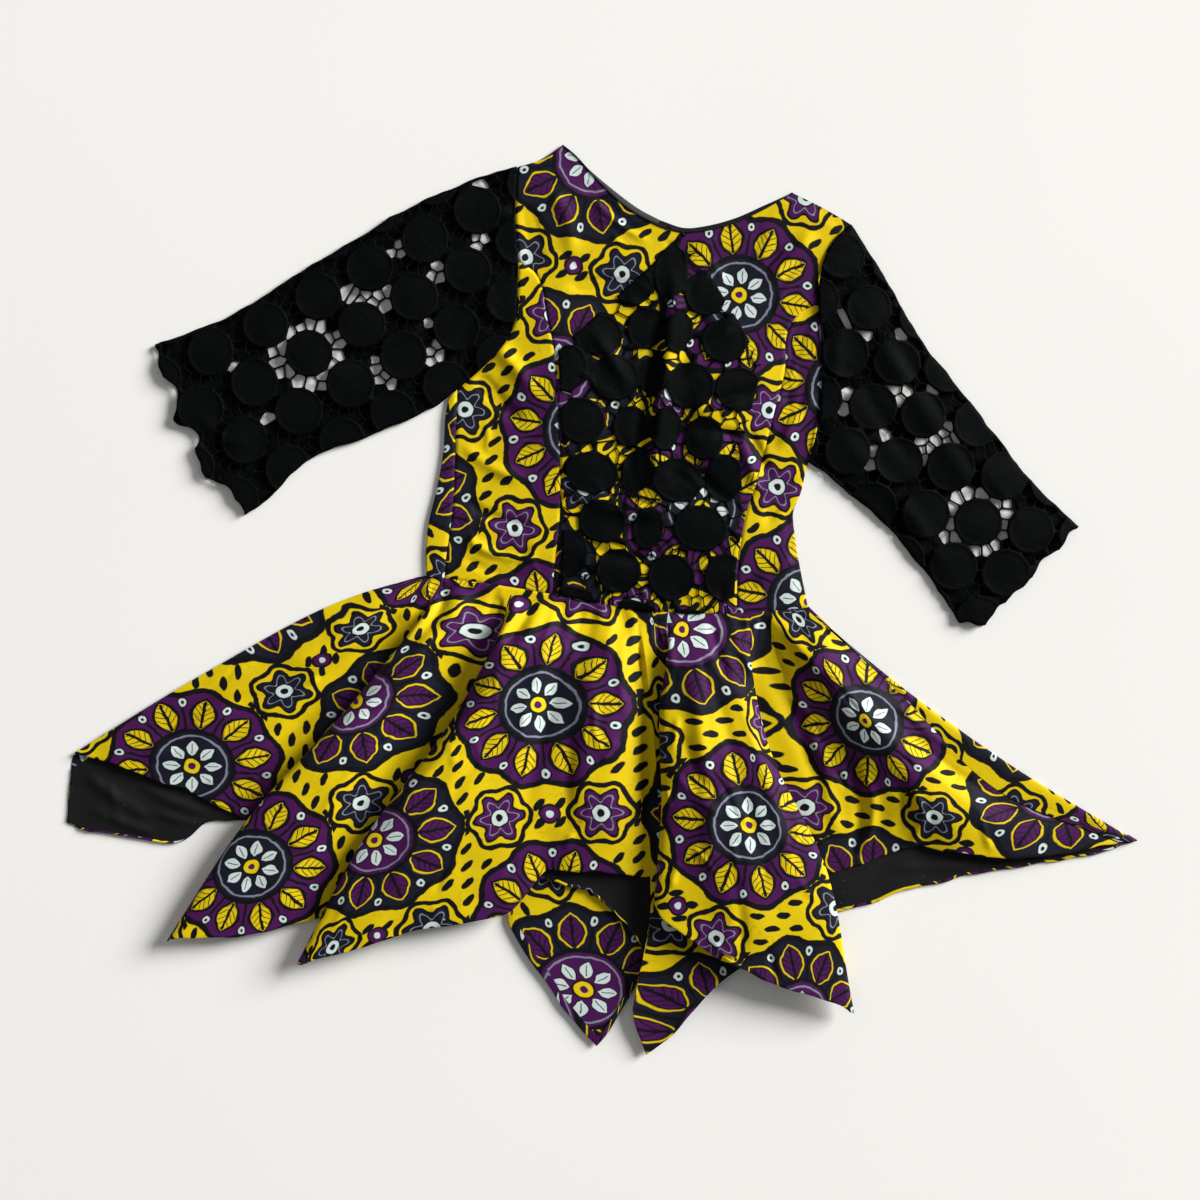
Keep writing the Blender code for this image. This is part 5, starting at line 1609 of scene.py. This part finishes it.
def wax_print():
    """A made-up wax print: rosettes of leaves on a half-drop, with small flowers between them."""
    g = Graph("wax_print", 0.64, Sheen_Weight=0.02, Sheen_Roughness=0.45, Specular_IOR_Level=0.14)
    place, u, v = g.cut_place()
    drift = g.noise(place, 9.0, 1.0)
    drift_2 = g.noise(place, 11.0, 1.0, offset=170.0)
    u = u + (drift - 0.5) * 3.0
    v = v + (drift_2 - 0.5) * 3.0
    column = (u / TILE_WIDE).floor()
    odd = g.maths("FLOORED_MODULO", column, 2.0)
    x = u - (column + 0.5) * TILE_WIDE
    high = v + odd * (TILE_HIGH / 2)
    y = high - ((high / TILE_HIGH).floor() + 0.5) * TILE_HIGH
    r = g.root_of_squares(x, y)
    angle = g.maths("ARCTAN2", y, x)

    def petal_axes(count, radius, turn):
        """Along and across the nearest of count petals round a centre."""
        half = math.pi / count
        a = g.maths("WRAP", turn, half, -half)
        return radius * a.cos(), abs(radius * a.sin()), a

    mottle = g.noise(place, 26.0, 3.0, 0.6, offset=40.0)
    ground = g.mix(mottle * 0.55, YELLOW, DEEP_YELLOW)
    band_fill = g.mix(odd, NAVY, PURPLE)
    leaf_rim = g.mix(odd, ground, INK)
    leaf_fill = g.mix(odd, PURPLE, ground)
    flower_fill = g.mix(odd, NAVY, PURPLE)
    medallion_fill = g.mix(odd, PURPLE, NAVY)
    band = r - ECHO - (angle * PETALS).cos() * 3.0
    along, across, a = petal_axes(PETALS, r, angle)
    t = (along - LEAF_MIDDLE) / LEAF_REACH
    leaf = across - (1.0 - t * t) * LEAF_HALF
    vein = g.maths("WRAP", along - across * 0.9, 6.4, 0.0)
    vein = abs(vein - 3.2) - 0.6
    gap_turn = math.pi / PETALS - abs(a)
    gap_along, gap_across = r * gap_turn.cos(), abs(r * gap_turn.sin())
    bud_t = (gap_along - 69.0) / 8.0
    bud = g.maths("SQRT", bud_t * bud_t * 42.0 + gap_across * gap_across) - 5.2
    stalk = (gap_across - 1.3).most(MEDALLION - r).most(r - 62.0)
    echo = abs(band) - 2.9
    inner_along, inner_across, _ = petal_axes(8, r, angle)
    p = (inner_along - 19.5) / 8.5
    inner_petal = inner_across - (1.0 - p * p) * 5.2

    flower_x, flower_y = abs(x) - FLOWER_X, abs(y) - TILE_HIGH / 2
    q = g.root_of_squares(flower_x, flower_y)
    flower_angle = g.maths("ARCTAN2", flower_y, flower_x)
    lobes = (flower_angle * 6.0).cos() * 4.6
    flower = q - 20.0 - lobes

    seed_x = ((x / SEED_X).floor() + 0.5) * SEED_X
    seed_y = ((y / SEED_Y).floor() + 0.5) * SEED_Y
    dx, dy = x - seed_x, y - seed_y
    lean = dx + dy
    stand = dx - dy
    seed = g.maths("SQRT", lean * lean * 0.2 + stand * stand) - 4.9
    far_r = g.root_of_squares(seed_x, seed_y)
    fx, fy = abs(seed_x) - FLOWER_X, abs(seed_y) - TILE_HIGH / 2
    far_q = g.root_of_squares(fx, fy)
    seed = seed.most(87.0 - far_r).most(35.0 - far_q)

    star = g.root_of_squares(x, flower_y)
    layers = (
        (seed, INK, 0.8), (band, band_fill, 0.8), (echo, INK, 0.8),
        (stalk, INK, 0.7), (bud, INK, 0.8), (bud + 1.6, PALE, 0.8), (bud + 3.7, INK, 0.8),
        (leaf, leaf_rim, 1.0), (leaf + 2.0, INK, 0.9), (leaf + 3.5, leaf_fill, 0.9),
        ((across - 1.5).most(leaf + 4.2), INK, 0.6), (vein.most(leaf + 4.0), INK, 0.7),
        (r - MEDALLION - 4.0, INK, 0.9), (r - MEDALLION, medallion_fill, 0.9),
        (abs(r - MEDALLION + 4.0) - 1.0, GREY, 0.7),
        (inner_petal - 1.3, INK, 0.8), (inner_petal, PALE, 0.8),
        ((inner_across - 0.45).most(abs(inner_along - 19.0) - 5.5), INK, 0.6),
        (r - 9.5, INK, 0.8), (r - 7.6, YELLOW, 0.8), (r - 3.4, PURPLE, 0.7),
        (flower - 3.0, INK, 0.9), (flower, flower_fill, 0.9),
        (abs(flower + 5.2) - 0.8, GREY, 0.7),
        (q - 9.6, INK, 0.8), (q - 8.0, PALE, 0.8), (q - 3.6, INK, 0.7),
        (abs(q - 30.0 - lobes * 0.5) - 2.5, INK, 0.8),
        (star - 10.0, INK, 0.8), (star - 7.8, PURPLE, 0.8), (star - 3.4, PALE, 0.8),
    )
    colour = ground
    for distance, paint, softness in layers:
        colour = g.mix(g.cover(distance, softness), colour, paint)
    web = g.node("ShaderNodeTexVoronoi", feature="DISTANCE_TO_EDGE", voronoi_dimensions="2D")
    web.inputs["Scale"].default_value = 1 / CRACKLE_PITCH
    warped = g.node("ShaderNodeVectorMath", operation="ADD")
    wave = g.node("ShaderNodeTexNoise", noise_dimensions="2D")
    wave.inputs["Scale"].default_value = 1 / CRACKLE_WAVE
    g.put(wave.inputs["Vector"], place)
    scaled = g.node("ShaderNodeVectorMath", operation="SCALE")
    g.put(scaled.inputs[0], wave.outputs["Color"])
    scaled.inputs["Scale"].default_value = CRACKLE_SWAY
    g.put(warped.inputs[0], place)
    g.put(warped.inputs[1], scaled.outputs[0])
    g.put(web.inputs["Vector"], warped.outputs[0])
    crack = g.cover(Value(g, web.outputs["Distance"]) - 0.008, 0.016)
    patchy = g.maths("SMOOTH_MIN", crack, g.cover(0.52 - mottle, 0.2), 0.1)
    colour = g.mix(patchy * CRACKLE_STRENGTH, colour, INK)
    grain = g.noise(place, 0.9, 1.0)
    height = g.weave(u, v, 0.55) * 0.5 + grain * 0.5 + mottle * 2.0
    return g.finish(colour, height, 0.05)


def guipure():
    """Black machine embroidery: dense satin stitches that waver from patch to patch."""
    g = Graph("guipure", 0.62, Sheen_Weight=0.0, Specular_IOR_Level=0.05)
    place, u, v = g.cut_place()
    soft = g.noise(place, 18.0, 2.0)
    fibre = g.noise(place, 1.4, 3.0)
    threads = ((u + (soft - 0.5) * 6.0) * (2 * math.pi / 1.1)).sin()
    cross = (v * (2 * math.pi / 2.9)).sin()
    colour = g.mix(fibre * 0.55 + soft * 0.35, linear(0, 1, 2), linear(7, 10, 11))
    return g.finish(colour, threads * 0.5 + cross * 0.3 + fibre * 1.6, 0.12)


def plain_black(name, shade, pitch, lint):
    """Black plain weave, with a little lint where it is asked for."""
    g = Graph(name, 0.7, Sheen_Weight=0.0, Specular_IOR_Level=0.2)
    place, u, v = g.cut_place()
    soft = g.noise(place, 40.0, 3.0)
    fibre = g.noise(place, 0.8, 2.0)
    colour = g.mix(soft * 0.6 + fibre * 0.3, linear(*(shade - 9 for _ in range(3))),
                   linear(shade + 8, shade + 8, shade + 10))
    speck = g.node("ShaderNodeTexVoronoi", voronoi_dimensions="2D")
    speck.inputs["Scale"].default_value = 1 / 16.0
    g.put(speck.inputs["Vector"], place)
    rare = g.cover(0.58 - g.noise(place, 21.0, 1.0, offset=90.0), 0.06)
    dot = g.cover(Value(g, speck.outputs["Distance"]) - 0.022, 0.014) * rare
    colour = g.mix(dot * lint, colour, linear(150, 150, 152))
    return g.finish(colour, g.weave(u, v, pitch) * 0.6 + fibre * 0.8, 0.09)


# ---------------------------------------------------------------------------------------------
# Stage

FLOOR_SIDE = 14.0
FLOOR_Z = -0.0004
CAMERA_HIGH = 2.667
LENS = 80.0
SENSOR = 36.0
PHOTO_TURN = 10.0


def floor():
    bpy.ops.mesh.primitive_plane_add(size=FLOOR_SIDE, location=(0, 0, FLOOR_Z))
    plane = bpy.context.object
    plane.name = "floor"
    g = Graph("floor", 0.9, Specular_IOR_Level=0.1)
    coordinates = g.node("ShaderNodeTexCoord").outputs["Object"]
    cloud = g.noise(coordinates, 0.6, 2.0)
    g.put(g.shader.inputs["Base Color"], g.mix(cloud, linear(246, 245, 242), linear(250, 249, 246)))
    plane.data.materials.append(g.material)


def camera():
    data = bpy.data.cameras.new("camera")
    data.lens = LENS
    data.sensor_width = SENSOR
    view = bpy.data.objects.new("camera", data)
    view.location = (-ORIGIN[0] * MM, -ORIGIN[1] * MM, CAMERA_HIGH)
    view.rotation_euler = (0, 0, math.radians(PHOTO_TURN))
    bpy.context.collection.objects.link(view)
    bpy.context.scene.camera = view


# name, place in metres, width, power in watts, colour
LAMPS = (
    ("window", (20.2, 15.6, 11.6), 13.6, 14640.0, (1.0, 0.99, 0.97)),
    ("fill", (-1.4, 0.6, 2.4), 2.6, 2.5, (0.97, 0.985, 1.0)),
)
SKY_STRENGTH = 0.2


def soft_light(name, place, size, power, colour):
    data = bpy.data.lights.new(name, "AREA")
    data.shape = "DISK"
    data.size = size
    data.energy = power
    data.color = colour
    lamp = bpy.data.objects.new(name, data)
    lamp.location = place
    lamp.rotation_euler = (Vector((0, 0, 0)) - Vector(place)).to_track_quat("-Z", "Y").to_euler()
    bpy.context.collection.objects.link(lamp)


def studio():
    world = bpy.data.worlds.new("studio")
    bpy.context.scene.world = world
    world.use_nodes = True
    sky = world.node_tree.nodes["Background"]
    sky.inputs["Color"].default_value = (1.0, 1.0, 1.0, 1.0)
    sky.inputs["Strength"].default_value = SKY_STRENGTH
    for lamp in LAMPS:
        soft_light(*lamp)
    bpy.context.scene.view_settings.view_transform = "Standard"


# ---------------------------------------------------------------------------------------------
# The dress

def dress():
    looks = {
        "print": wax_print(),
        "lace": guipure(),
        "facing": plain_black("facing_weave", 15, 0.9, 0.5),
        # the grey weave of the strip on the left of the back neckline
        "inside": plain_black("neck_grey_weave", 74, 0.8, 0.2),
        "binding": plain_black("binding_weave", 13, 0.7, 0.0),
    }
    bodice_back(looks["print"])
    bodice_front(looks["print"])
    lace_overlay(looks["lace"])
    neck_facing(looks["inside"], looks["facing"])
    neck_binding(looks["binding"])
    neck_knots(looks["binding"])
    arm_left = joined((ARMHOLE_LEFT_LOW, 49), (ARMHOLE_LEFT_HIGH, 29))
    arm_right = joined((ARMHOLE_RIGHT_LOW, 49), (ARMHOLE_RIGHT_HIGH, 29))
    sleeve("sleeve_left", SLEEVE_L_TOP, SLEEVE_L_UNDER, arm_left[::-1],
           cuff_line(SLEEVE_L_CUFF, 38.0, 4.4, 190),
           ((-188.5, 360.7), (-47.3, -36.8), (0.2, -58.9), 31), OPEN_LEFT, looks["lace"])
    sleeve("sleeve_right", SLEEVE_R_TOP, SLEEVE_R_UNDER, arm_right[::-1],
           cuff_line(SLEEVE_R_CUFF, 34.0, -4.2, 170),
           ((178.8, 380.8), (35.8, -47.5), (52.6, 1.2), 33), OPEN_RIGHT, looks["lace"])
    skirt(looks)


floor()
camera()
studio()
dress()
